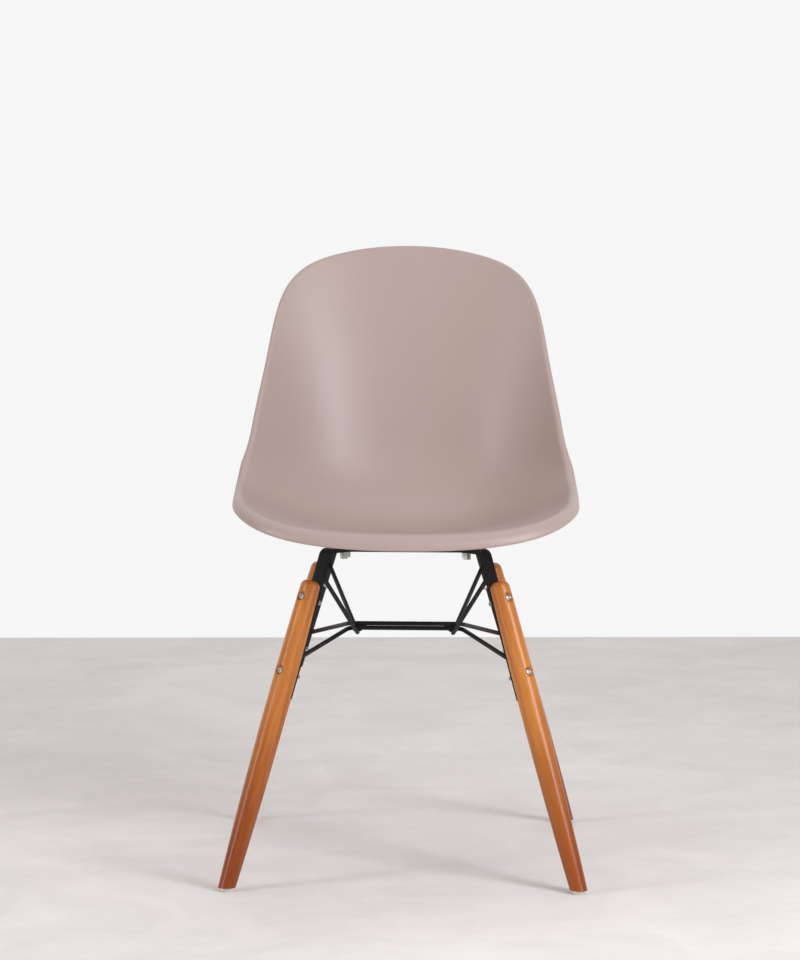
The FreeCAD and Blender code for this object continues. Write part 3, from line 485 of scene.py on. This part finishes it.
@dataclass(frozen=True)
class StudioFloor:
    """Pale trowelled floor with soft clouds."""

    pale: Colour = (0.83, 0.790, 0.762)
    grey: Colour = (0.69, 0.655, 0.628)
    broad: Pattern = Pattern(1.3, 4.0, 0.6, 0.8)
    clouds: Pattern = Pattern(5.0, 6.0, 0.62, 1.2)
    trowel: Pattern = Pattern(55.0, 4.0, 0.65)
    trowel_height: float = 0.0004
    roughness: float = 0.75
    bounce: float = 0.10

    def material(self) -> bpy.types.Material:
        """Build the material.

        Returns:
            The finished material.
        """
        shader = Shader("studio_floor")
        place = shader.place()
        broad = shader.noise(place, self.broad)
        clouds = shader.noise(place, self.clouds)
        trowel = shader.noise(place, self.trowel)
        tone = shader.between(broad * 0.45 + clouds * 0.43 + trowel * 0.12, 0.36, 0.64)
        colour = shader.mix(tone, self.grey, self.pale)
        shader.set(Base_Color=colour, Roughness=self.roughness, Emission_Color=colour,
                   Emission_Strength=self.bounce,
                   Normal=shader.bump(trowel, self.trowel_height, 0.4))
        return shader.material


@dataclass(frozen=True)
class StudioWall:
    """White wall that the camera and reflections see as one even tone."""

    paint: Colour = (0.85, 0.85, 0.85)
    roughness: float = 0.9
    seen: Colour = (0.923, 0.923, 0.923)

    def material(self) -> bpy.types.Material:
        """Build the material.

        Returns:
            The finished material.
        """
        shader = Shader("studio_wall")
        shader.set(Base_Color=self.paint, Roughness=self.roughness)
        camera = shader.node("ShaderNodeLightPath", output="Is Camera Ray")
        glossy = shader.node("ShaderNodeLightPath", output="Is Glossy Ray")
        through = shader.node("ShaderNodeLightPath", output="Is Transmission Ray")
        direct = shader.between(camera + glossy + through, 0.0, 1.0)
        glow = shader.node("ShaderNodeEmission", None, {"Color": self.seen, "Strength": 1.0})
        painted = Signal(shader, shader.body.outputs["BSDF"])
        mixed = shader.node("ShaderNodeMixShader", None, {0: direct, 1: painted, 2: glow})
        shader.feed(shader.output.inputs["Surface"], mixed)
        return shader.material


STEEL = BareMetal("steel", (0.60, 0.59, 0.57), (0.47, 0.46, 0.44), 0.34)
BRASS = BareMetal("insert_brass", (0.62, 0.45, 0.19), (0.5, 0.35, 0.13), 0.35)


@dataclass
class Workshop:
    """Keeps the finishes and turns meshes into pieces of the chair."""

    finishes: dict[Slot, bpy.types.Material] = field(default_factory=dict)

    def stock(self) -> None:
        """Build every finish once."""
        self.finishes = {
            Slot.SHELL: ShellPlastic().material(),
            Slot.WOOD: LegWood().material(),
            Slot.BLACK: BlackCoat().material(),
            Slot.STEEL: STEEL.material(),
            Slot.BRASS: BRASS.material(),
            Slot.NYLON: GlideNylon().material(),
        }

    def piece(self, shape: bmesh.types.BMesh, name: str, slot: Slot,
              replaced: Sequence[str] = ()) -> bpy.types.Object:
        """Make a piece of the chair from a bmesh.

        Args:
            shape: The finished mesh, which is freed.
            name: Name of the piece.
            slot: Its material slot.
            replaced: CAD nodes that it stands for.

        Returns:
            The new object.
        """
        mesh = bpy.data.meshes.new(name)
        shape.to_mesh(mesh)
        shape.free()
        made = bpy.data.objects.new(name, mesh)
        bpy.context.scene.collection.objects.link(made)
        mesh.materials.append(self.finishes[slot])
        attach(made, ROOT)
        if replaced:
            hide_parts(*replaced)
        LOG.info("%s: %d faces", name, len(mesh.polygons))
        return made

    @staticmethod
    def smooth(made: bpy.types.Object, crease: float) -> None:
        """Shade a piece smooth and keep edges sharper than an angle in degrees."""
        made.data.shade_smooth()
        made.data.set_sharp_from_angle(angle=math.radians(crease))

    def skin(self, node: str, slot: Slot, crease: float = 32.0) -> bpy.types.Object:
        """Cover a CAD node with a merged, smooth copy of its own mesh.

        Args:
            node: The CAD node.
            slot: Its material slot.
            crease: Angle in degrees above which an edge stays sharp.

        Returns:
            The new object.
        """
        shape = bmesh.new()
        shape.from_mesh(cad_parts[node].data)
        bmesh.ops.remove_doubles(shape, verts=shape.verts, dist=CAD_MERGE)
        made = self.piece(shape, f"{node}_skin", slot, [node])
        self.smooth(made, crease)
        return made


@dataclass
class MouldedShell:
    """The one-piece seat and back."""

    half_width: float = 0.2185
    length: float = 0.765
    wall: float = 0.005
    front: float = 0.214
    crest_height: float = 0.4665
    dish_depth: float = 0.104
    middle: float = 0.3
    power: float = 2.5
    columns: int = 144
    rings: int = 30
    roll_rows: int = 8
    edge_rows: int = 5
    rim_steps: int = 40
    line_steps: int = 400
    line_end: float = 1.1
    merge: float = 0.0000005
    slopes: Stations = (
        (0.0, -4.0), (0.08, -6.5), (0.2, -7.0), (0.33, -6.0), (0.39, 1.0), (0.46, 22.0),
        (0.52, 48.0), (0.59, 67.0), (0.65, 74.0), (0.78, 75.5), (0.92, 74.5), (1.05, 71.0))
    rise: Stations = (
        (0.0, -4.0), (0.08, -6.5), (0.2, -7.0), (0.28, -6.3), (0.32, -3.7), (0.36, 2.8),
        (0.44, 24.6), (0.52, 49.1), (0.6, 68.8), (0.65, 74.0), (0.78, 75.5), (0.92, 74.5),
        (1.05, 71.0))
    dish: Stations = (
        (0.0, 0.22), (0.08, 0.35), (0.14, 0.43), (0.28, 0.58), (0.32, 0.638), (0.36, 0.713),
        (0.4, 0.81), (0.44, 0.905), (0.48, 0.973), (0.52, 0.996), (0.56, 0.99), (0.6, 0.97),
        (0.64, 0.925), (0.71, 0.79), (0.81, 0.56), (0.92, 0.385), (1.05, 0.17))
    reach: Stations = (
        (0.0, 1.016), (0.16, 1.016), (0.34, 1.016), (0.48, 0.989), (0.65, 0.943),
        (0.8, 0.888), (0.94, 0.824), (1.07, 0.73))
    rim: Stations = (
        (0.0, 0.0), (0.366, 0.004), (0.641, 0.018), (0.833, 0.051), (0.943, 0.105),
        (0.984, 0.196), (1.0, 0.314), (0.993, 0.431), (0.969, 0.549), (0.928, 0.667),
        (0.872, 0.771), (0.816, 0.869), (0.755, 0.918), (0.641, 0.956), (0.458, 0.981),
        (0.229, 0.996), (0.0, 1.0))
    roll_radius: Stations = (
        (0.0, 0.020), (0.01, 0.0182), (0.03, 0.0168), (0.08, 0.0152), (0.29, 0.0115),
        (0.56, 0.00851), (0.97, 0.0055), (1.07, 0.005))
    roll_turn: Stations = (
        (0.0, 88.0), (0.29, 80.0), (0.56, 62.0), (0.9, 42.0), (1.07, 30.0))
    bolt_half_span: float = 0.082
    boss_radius: float = 0.014
    boss_edge: float = 0.0008
    boss_edge_rows: int = 3
    boss_sides: int = 64
    boss_sink: float = 0.003
    boss_crease: float = 40.0
    line: list[tuple[float, float]] = field(default_factory=list)

    def lay_middle_line(self) -> None:
        """Walk the middle line of the sitting surface from the front crest."""
        y = -self.front - FEET_FORWARD
        z = self.crest_height
        step = self.line_end / self.line_steps
        for index in range(self.line_steps + 1):
            self.line.append((y, z))
            heading = math.radians(blend_stations(self.slopes, (index + 0.5) * step))
            y += step * self.length * math.cos(heading)
            z += step * self.length * math.sin(heading)

    def surface(self, x: float, share: float) -> Vector:
        """Give a point of the sitting surface.

        Args:
            x: Distance off the middle, in metres.
            share: Share of the length, from the front crest.

        Returns:
            The point, in metres.
        """
        place = min(max(share, 0.0) / self.line_end * self.line_steps, self.line_steps - 1e-6)
        index = int(place)
        part = place - index
        (y0, z0), (y1, z1) = self.line[index], self.line[index + 1]
        reach = blend_stations(self.reach, share) * self.half_width
        rise = blend_stations(self.dish, share) * self.dish_depth * (abs(x) / reach)**self.power
        leaning = math.radians(blend_stations(self.rise, share))
        return Vector((x, y0 + (y1 - y0) * part - rise * math.sin(leaning),
                       z0 + (z1 - z0) * part + rise * math.cos(leaning)))

    def rim_stations(self) -> list[tuple[float, float]]:
        """Space points evenly round the crest of the rim.

        Returns:
            Pairs of distance off the middle, in metres, and share of the length.
        """
        right = [(x * self.half_width, share * self.length) for x, share in self.rim]
        spots = np.array(right + [(-x, y) for x, y in reversed(right[1:-1])])
        path = closed_track(spots, self.rim_steps)
        run = np.concatenate([[0.0], np.cumsum(np.linalg.norm(np.diff(path, axis=0), axis=1))])
        stops = np.linspace(0.0, run[-1], self.columns, endpoint=False)
        across = np.interp(stops, run, path[:, 0])
        along = np.interp(stops, run, path[:, 1])
        return [(float(x), float(y) / self.length) for x, y in zip(across, along)]

    def sitting_rows(self) -> list[list[Vector]]:
        """Work out the rows of the sitting side.

        Returns:
            The rows, from the middle of the seat out to the rolled edge.
        """
        stations = self.rim_stations()
        rows = []
        for ring in range(self.rings + 1):
            out = ring / self.rings
            rows.append([self.surface(x * out, self.middle + (share - self.middle) * out)
                         for x, share in stations])
        crest, below = rows[-1], rows[-2]
        for step in range(1, self.roll_rows + 1):
            row = []
            for column, (x, share) in enumerate(stations):
                ahead = crest[(column + 1) % self.columns] - crest[column - 1]
                normal = (crest[column] - below[column]).cross(ahead).normalized()
                across = ahead.cross(normal).normalized()
                radius = blend_stations(self.roll_radius, share)
                full = math.radians(blend_stations(self.roll_turn, share))
                angle = full * step / self.roll_rows
                row.append(crest[column] + across * (radius * math.sin(angle))
                           - normal * (radius * (1 - math.cos(angle))))
            rows.append(row)
        return rows

    def outer_rows(self, rows: list[list[Vector]]) -> list[list[Vector]]:
        """Offset the rows by the wall, square to the surface.

        Args:
            rows: The rows of the sitting side.

        Returns:
            The rows of the outer side.
        """
        last = len(rows) - 1
        heading = math.radians(blend_stations(self.slopes, self.middle))
        down = Vector((0.0, math.sin(heading), -math.cos(heading)))
        offset = [[spot + down * self.wall for spot in rows[0]]]
        for number in range(1, last + 1):
            row = []
            for column in range(self.columns):
                ahead = rows[number][(column + 1) % self.columns] - rows[number][column - 1]
                outward = rows[min(number + 1, last)][column] - rows[number - 1][column]
                row.append(rows[number][column] + ahead.cross(outward).normalized() * self.wall)
            offset.append(row)
        return offset

    def edge_between(self, inner: list[list[Vector]], outer: list[list[Vector]]
                     ) -> list[list[Vector]]:
        """Round the edge of the wall.

        Args:
            inner: The rows of the sitting side.
            outer: The rows of the outer side.

        Returns:
            The rows from one to the other round the edge.
        """
        rows = []
        for step in range(1, self.edge_rows + 1):
            angle = math.pi * step / (self.edge_rows + 1)
            row = []
            for column in range(self.columns):
                way = (inner[-1][column] - inner[-2][column]).normalized()
                centre = (inner[-1][column] + outer[-1][column]) / 2
                arm = inner[-1][column] - centre
                row.append(centre + arm * math.cos(angle) + way * (arm.length * math.sin(angle)))
            rows.append(row)
        return rows

    def build(self, workshop: Workshop) -> None:
        """Build the moulding and its bosses.

        Args:
            workshop: Where the pieces are made.
        """
        self.lay_middle_line()
        inner = self.sitting_rows()
        outer = self.outer_rows(inner)
        rows = inner + self.edge_between(inner, outer) + outer[::-1]
        shape = bmesh.new()
        bmesh.ops.create_grid(shape, x_segments=self.columns, y_segments=len(rows) - 1, size=1.0)
        for vert in shape.verts:
            column = round((vert.co.x + 1) / 2 * self.columns) % self.columns
            row = round((vert.co.y + 1) / 2 * (len(rows) - 1))
            vert.co = rows[row][column]
        bmesh.ops.remove_doubles(shape, verts=shape.verts, dist=self.merge)
        bmesh.ops.recalc_face_normals(shape, faces=shape.faces)
        made = workshop.piece(shape, "shell_moulding", Slot.SHELL, ["seat_shell"])
        made.data.shade_smooth()
        finer = made.modifiers.new("finer", "SUBSURF")
        finer.levels = 1
        finer.render_levels = 1
        self.build_bosses(workshop)

    def build_bosses(self, workshop: Workshop) -> None:
        """Build the four mounting bosses, from the straps up into the underside.

        Args:
            workshop: Where the pieces are made.
        """
        shape = bmesh.new()
        for side in (1, -1):
            for end, name in ENDS.items():
                spot = Vector((side * self.bolt_half_span, end * BAR_ROW - FEET_FORWARD,
                               BAR_HEIGHTS[name] + BAR_THICKNESS))
                self.add_boss(shape, spot)
        made = workshop.piece(shape, "shell_bosses", Slot.SHELL)
        workshop.smooth(made, self.boss_crease)

    def add_boss(self, shape: bmesh.types.BMesh, foot: Vector) -> None:
        """Add a boss with a rounded lower edge.

        Args:
            shape: The mesh of all bosses.
            foot: The middle of the boss's lower face.
        """
        around = ((self.boss_radius, 0), (-self.boss_radius, 0),
                  (0, self.boss_radius), (0, -self.boss_radius))
        top = min(self.underside(foot.x + dx, foot.y + dy) for dx, dy in around)
        depth = top + self.boss_sink - foot.z
        made = bmesh.ops.create_cone(
            shape, cap_ends=True, segments=self.boss_sides, radius1=self.boss_radius,
            radius2=self.boss_radius, depth=depth,
            matrix=Matrix.Translation(foot + Vector((0.0, 0.0, depth / 2))))
        ring = {vert for vert in made["verts"] if vert.co.z < foot.z + depth / 2}
        lower = [edge for edge in shape.edges if ring.issuperset(edge.verts)]
        bmesh.ops.bevel(shape, geom=lower, offset=self.boss_edge, affect="EDGES",
                        segments=self.boss_edge_rows, profile=0.5, material=-1)

    def underside(self, x: float, y: float) -> float:
        """Find the underside of the seat over a place in plan.

        Args:
            x: Distance off the middle, in metres.
            y: Distance along the chair, in metres, rising to the rear.

        Returns:
            The height of the underside above the floor.
        """
        low, high = 0.0, 0.5
        for _ in range(30):
            share = (low + high) / 2
            if self.surface(x, share).y < y:
                low = share
            else:
                high = share
        return self.surface(x, share).z - self.wall


@dataclass
class DowelLegs:
    """Four turned legs with their glides, nails and bolts."""

    foot_half_span: float = 0.2295
    foot_half_depth: float = 0.2455
    knee_half_span: float = 0.078
    glide_height: float = 0.005
    front_tilt: float = 20.8
    rear_tilt: float = 22.3
    leg_crease: float = 40.0
    bolt_crease: float = 28.0
    grain_seed: int = 7

    def tilt(self, end: int) -> float:
        """Give the lean of the front or rear legs off the upright, in radians."""
        return math.radians(self.front_tilt if end < 0 else self.rear_tilt)

    def frame_of(self, corner: str) -> Matrix:
        """Work out the placement of a leg.

        Args:
            corner: Which leg.

        Returns:
            The placement, Z up the leg and X square to it inwards.
        """
        side, end = CORNERS[corner]
        foot = Vector((side * self.foot_half_span,
                       end * self.foot_half_depth - FEET_FORWARD, self.glide_height))
        heading = math.atan2(-end * (self.foot_half_depth - BAR_ROW),
                             -side * (self.foot_half_span - self.knee_half_span))
        return (Matrix.Translation(foot) @ Matrix.Rotation(heading, 4, "Z")
                @ Matrix.Rotation(self.tilt(end), 4, "Y"))

    def build(self, workshop: Workshop) -> None:
        """Dress the legs, glides, nails, washers and bolts.

        Args:
            workshop: Where the pieces are made.
        """
        draw = random.Random(self.grain_seed)
        for corner in CORNERS:
            made = workshop.skin(f"{corner}_leg", Slot.WOOD, self.leg_crease)
            self.write_grain(made, corner, draw)
            workshop.skin(f"{corner}_glide", Slot.NYLON)
            workshop.skin(f"{corner}_glide_nail", Slot.STEEL)
            for level in ("upper", "lower"):
                workshop.skin(f"{corner}_{level}_leg_bolt", Slot.STEEL, self.bolt_crease)
                workshop.skin(f"{corner}_{level}_leg_washer", Slot.STEEL)

    def write_grain(self, made: bpy.types.Object, corner: str, draw: random.Random) -> None:
        """Store each point's place in its own plank, so that the grain runs up the leg.

        Args:
            made: The leg.
            corner: Which leg it is.
            draw: Where the plank's place and turn are drawn from.
        """
        inverse = self.frame_of(corner).inverted()
        shift = Vector((draw.uniform(-1, 1), draw.uniform(-1, 1), 0.0))
        turn = Matrix.Rotation(draw.uniform(0, math.tau), 4, "Z")
        layer = made.data.attributes.new("grain", "FLOAT_VECTOR", "POINT")
        for vert in made.data.vertices:
            layer.data[vert.index].vector = turn @ (inverse @ vert.co) + shift


@dataclass
class SteelFrame:
    """Two bent straps, four bent wires and the welds between them."""

    legs: DowelLegs
    leg_seat: float = 0.008
    rod: float = 0.003
    weld_gap: float = 0.0002
    tie_drop: float = 0.1165
    tie_half_span: float = 0.076
    brace_half_span: float = 0.065
    tie_end_drops: ClassVar[dict[str, float]] = {"front": 0.1375, "rear": 0.1255}
    brace_end_drops: ClassVar[dict[str, float]] = {"front": 0.0255, "rear": 0.0205}
    strap_crease: float = 25.0
    wire_crease: float = 40.0
    ball_cuts: int = 3
    collar: float = 0.0046
    collar_height: float = 0.0022
    collar_shift: float = 0.0012
    collar_stretch: float = 0.35
    collar_unevenness: float = 0.00012
    collar_seed: int = 11
    brace_bead: tuple[float, float, float] = (0.0062, 0.0019, 0.0021)
    brace_bead_offset: float = 0.0022
    tie_bead: tuple[float, float, float] = (0.0085, 0.0016, 0.0017)
    tie_bead_offset: float = 0.0019
    tie_bead_inset: float = 0.004
    ripple: float = 0.00012
    ripple_turns: float = 5200.0
    bead_unevenness: float = 0.00005
    bead_seed: int = 13

    def inner_face(self, corner: str, height: float) -> tuple[Vector, Vector]:
        """Find a strap's inner face at a height above the floor.

        Args:
            corner: Which leg.
            height: Height above the floor, in metres.

        Returns:
            The point on the middle of the face, and the face's direction.
        """
        place = self.legs.frame_of(corner)
        out = self.leg_seat + BAR_THICKNESS
        tilt = self.legs.tilt(CORNERS[corner][1])
        along = (height - self.legs.glide_height + out * math.sin(tilt)) / math.cos(tilt)
        spot = place @ Vector((out, 0.0, along))
        facing = (place.to_3x3() @ Vector((1.0, 0.0, 0.0))).normalized()
        return spot, facing

    def tie_height(self) -> float:
        """Give the height of the lower tie rod's axis above the floor."""
        return BAR_HEIGHTS["front"] - self.tie_drop

    def build(self, workshop: Workshop) -> None:
        """Dress the straps and wires and lay the welds.

        Args:
            workshop: Where the pieces are made.
        """
        for node in ("front_strap", "rear_strap"):
            workshop.skin(node, Slot.BLACK, self.strap_crease)
        for node in ("front_tie_rod", "rear_tie_rod", "left_side_brace", "right_side_brace"):
            workshop.skin(node, Slot.BLACK, self.wire_crease)
        self.weld_ends(workshop)
        self.weld_crossings(workshop)

    def weld_ends(self, workshop: Workshop) -> None:
        """Lay a collar of weld where each wire meets a strap.

        Args:
            workshop: Where the pieces are made.
        """
        draw = random.Random(self.collar_seed)
        shape = bmesh.new()
        for corner, (side, end) in CORNERS.items():
            name = ENDS[end]
            tie = Vector((side * self.tie_half_span, -FEET_FORWARD, self.tie_height()))
            brace = Vector((side * self.brace_half_span, -FEET_FORWARD,
                            self.tie_height() - 2 * self.rod))
            for drop, far in ((self.tie_end_drops[name], tie),
                              (self.brace_end_drops[name], brace)):
                spot, facing = self.inner_face(corner, BAR_HEIGHTS[name] - drop)
                self.add_collar(shape, spot, facing, (far - spot).normalized(), draw)
        made = workshop.piece(shape, "strap_welds", Slot.BLACK)
        made.data.shade_smooth()

    def add_collar(self, shape: bmesh.types.BMesh, spot: Vector, facing: Vector,
                   along: Vector, draw: random.Random) -> None:
        """Lay one collar of weld, wider where the wire leans over the strap.

        Args:
            shape: The mesh of all collars.
            spot: Where the wire's axis meets the strap.
            facing: Direction out of the strap's inner face.
            along: Direction of the wire away from the strap.
            draw: Where the unevenness is drawn from.
        """
        lean = along - facing * along.dot(facing)
        turn = facing.to_track_quat("Z", "Y").to_matrix().to_4x4()
        matrix = Matrix.Translation(spot + lean * self.collar_shift) @ turn
        size = Matrix.Diagonal((self.collar, self.collar, self.collar_height, 1.0))
        made = bmesh.ops.create_icosphere(shape, subdivisions=self.ball_cuts, radius=1.0,
                                          matrix=matrix @ size)
        for vert in made["verts"]:
            away = vert.co - spot
            flat = away - facing * away.dot(facing)
            vert.co += lean * (self.collar_stretch * max(flat.dot(lean.normalized()), 0.0))
            vert.co += away.normalized() * draw.uniform(-self.collar_unevenness,
                                                        self.collar_unevenness)

    def weld_crossings(self, workshop: Workshop) -> None:
        """Lay the welds between the tie rods and the lowest point of each side brace.

        Args:
            workshop: Where the pieces are made.
        """
        draw = random.Random(self.bead_seed)
        shape = bmesh.new()
        low = self.tie_height()
        between_ties = low + self.rod + self.weld_gap / 2
        for side in (-1, 1):
            x = side * self.brace_half_span
            inset = x - side * self.tie_bead_inset
            for row in (-1, 1):
                y = row * self.brace_bead_offset - FEET_FORWARD
                self.add_bead(shape, Vector((x, y, low - self.rod)), self.brace_bead, x, draw)
            for row in (-1, 1):
                y = row * self.tie_bead_offset - FEET_FORWARD
                self.add_bead(shape, Vector((inset, y, between_ties)), self.tie_bead, x, draw)
        made = workshop.piece(shape, "crossing_welds", Slot.BLACK)
        made.data.shade_smooth()

    def add_bead(self, shape: bmesh.types.BMesh, centre: Vector,
                 radii: tuple[float, float, float], start: float, draw: random.Random) -> None:
        """Lay one rippled bead of weld along X.

        Args:
            shape: The mesh of all beads.
            centre: Middle of the bead.
            radii: Half its length, depth and height.
            start: Where the ripple starts along X.
            draw: Where the unevenness is drawn from.
        """
        matrix = Matrix.Translation(centre) @ Matrix.Diagonal((*radii, 1.0))
        made = bmesh.ops.create_icosphere(shape, subdivisions=self.ball_cuts, radius=1.0,
                                          matrix=matrix)
        for vert in made["verts"]:
            ripple = math.sin((vert.co.x - start) * self.ripple_turns) * self.ripple
            vert.co.z += ripple + draw.uniform(-self.bead_unevenness, self.bead_unevenness)


@dataclass
class SeatMounting:
    """Bolts, washers and inserts that hold the shell on the straps."""

    bolt_crease: float = 28.0

    def build(self, workshop: Workshop) -> None:
        """Dress the fasteners under the seat.

        Args:
            workshop: Where the pieces are made.
        """
        for corner in CORNERS:
            workshop.skin(f"{corner}_seat_bolt", Slot.STEEL, self.bolt_crease)
            workshop.skin(f"{corner}_seat_washer", Slot.STEEL)
            workshop.skin(f"{corner}_lock_washer", Slot.STEEL)
            workshop.skin(f"{corner}_seat_insert", Slot.BRASS)


@dataclass(frozen=True)
class SoftBox:
    """One rectangular lamp, its azimuth in degrees to the right of the front."""

    name: str
    azimuth: float
    elevation: float
    distance: float
    size: tuple[float, float]
    power: float
    aim: tuple[float, float, float] = (0.0, 0.0, 0.45)
    tint: Colour = (1.0, 1.0, 1.0)

    def hang(self) -> None:
        """Place the lamp and turn it towards what it lights."""
        turn, lift = math.radians(self.azimuth), math.radians(self.elevation)
        away = Vector((math.sin(turn) * math.cos(lift), -math.cos(turn) * math.cos(lift),
                       math.sin(lift)))
        lamp = bpy.data.lights.new(self.name, "AREA")
        lamp.shape = "RECTANGLE"
        lamp.size, lamp.size_y = self.size
        lamp.energy = self.power
        lamp.color = self.tint
        holder = bpy.data.objects.new(self.name, lamp)
        bpy.context.scene.collection.objects.link(holder)
        aim = Vector(self.aim)
        holder.location = aim + away * self.distance
        holder.rotation_euler = (-away).to_track_quat("-Z", "Y").to_euler()


@dataclass
class Studio:
    """Floor, wall, lamps and camera, with angles in degrees."""

    wall_behind: float = 2.10
    wall_turn: float = 3.5
    floor_front: float = -7.0
    floor_past_wall: float = 0.5
    floor_gap: float = 0.0002
    half_width: float = 5.0
    wall_height: float = 4.5
    world_strength: float = 0.31
    focal_pixels: float = 3835.8
    frame_pixels: float = 800.0
    sensor: float = 36.0
    camera_spot: tuple[float, float, float] = (0.0242, -5.1703, 1.0353)
    pitch: float = 5.738
    roll: float = 0.376
    yaw: float = -0.363
    far_clip: float = 100.0
    lamps: tuple[SoftBox, ...] = (
        SoftBox("key_lamp", 24.0, 40.0, 3.2, (1.5, 1.3), 14.0),
        SoftBox("right_strip", 44.0, 24.0, 2.6, (0.8, 1.2), 39.0, tint=(0.90, 0.93, 1.0)),
        SoftBox("left_strip", -60.0, 16.0, 2.7, (0.6, 1.6), 20.0),
        SoftBox("top_lamp", 0.0, 88.0, 2.6, (2.6, 2.6), 18.0, aim=(0.0, 0.7, 0.45)),
    )

    def build(self) -> None:
        """Build the room, hang the lamps and set up the camera."""
        self.lay_floor()
        self.raise_wall()
        for lamp in self.lamps:
            lamp.hang()
        self.set_world()
        self.set_camera()
        bpy.context.scene.view_settings.view_transform = "Standard"

    def plane(self, name: str, matrix: Matrix, half: tuple[float, float],
              material: bpy.types.Material) -> None:
        """Add a flat part of the room.

        Args:
            name: Name of the part.
            matrix: Its placement, with the part flat in X and Y.
            half: Half its width and half its depth, in metres.
            material: Its finish.
        """
        shape = bmesh.new()
        bmesh.ops.create_grid(shape, x_segments=1, y_segments=1, size=1.0,
                              matrix=matrix @ Matrix.Diagonal((*half, 1.0, 1.0)))
        mesh = bpy.data.meshes.new(name)
        shape.to_mesh(mesh)
        shape.free()
        mesh.materials.append(material)
        made = bpy.data.objects.new(name, mesh)
        bpy.context.scene.collection.objects.link(made)

    def lay_floor(self) -> None:
        """Lay the floor and run it a little under the wall."""
        behind = self.wall_behind + self.floor_past_wall
        middle = (behind + self.floor_front) / 2
        depth = (behind - self.floor_front) / 2
        self.plane("studio_floor", Matrix.Translation((0.0, middle, -self.floor_gap)),
                   (self.half_width, depth), StudioFloor().material())

    def raise_wall(self) -> None:
        """Raise the wall at the back edge of the floor."""
        matrix = (Matrix.Translation((0.0, self.wall_behind, self.wall_height / 2))
                  @ Matrix.Rotation(math.radians(self.wall_turn), 4, "Z")
                  @ Matrix.Rotation(math.pi / 2, 4, "X"))
        self.plane("studio_wall", matrix, (self.half_width, self.wall_height / 2),
                   StudioWall().material())

    def set_world(self) -> None:
        """Give the even light of a white room."""
        world = bpy.data.worlds.new("white_room")
        world.use_nodes = True
        background = world.node_tree.nodes["Background"]
        background.inputs["Color"].default_value = (1.0, 1.0, 1.0, 1.0)
        background.inputs["Strength"].default_value = self.world_strength
        bpy.context.scene.world = world

    def set_camera(self) -> None:
        """Place the camera at the photograph's viewpoint."""
        pitch, roll, yaw = (math.radians(a) for a in (self.pitch, self.roll, self.yaw))
        forward = Vector((math.sin(yaw) * math.cos(pitch), math.cos(yaw) * math.cos(pitch),
                          -math.sin(pitch)))
        level = forward.cross(Vector((0.0, 0.0, 1.0))).normalized()
        upright = level.cross(forward)
        right = level * math.cos(roll) + upright * math.sin(roll)
        up = upright * math.cos(roll) - level * math.sin(roll)
        turn = Matrix((right, up, -forward)).transposed().to_4x4()
        lens = bpy.data.cameras.new("photo_camera")
        lens.sensor_fit = "HORIZONTAL"
        lens.sensor_width = self.sensor
        lens.lens = self.sensor * self.focal_pixels / self.frame_pixels
        lens.clip_end = self.far_clip
        camera = bpy.data.objects.new("photo_camera", lens)
        bpy.context.scene.collection.objects.link(camera)
        x, y, z = self.camera_spot
        camera.matrix_world = Matrix.Translation((x, y - FEET_FORWARD, z)) @ turn
        bpy.context.scene.camera = camera


def main() -> None:
    """Build the chair's looks and the studio around it."""
    logging.basicConfig(level=logging.INFO, format="%(name)s %(message)s")
    workshop = Workshop()
    workshop.stock()
    legs = DowelLegs()
    MouldedShell().build(workshop)
    legs.build(workshop)
    SteelFrame(legs).build(workshop)
    SeatMounting().build(workshop)
    Studio().build()


if __name__ == "__main__":
    main()
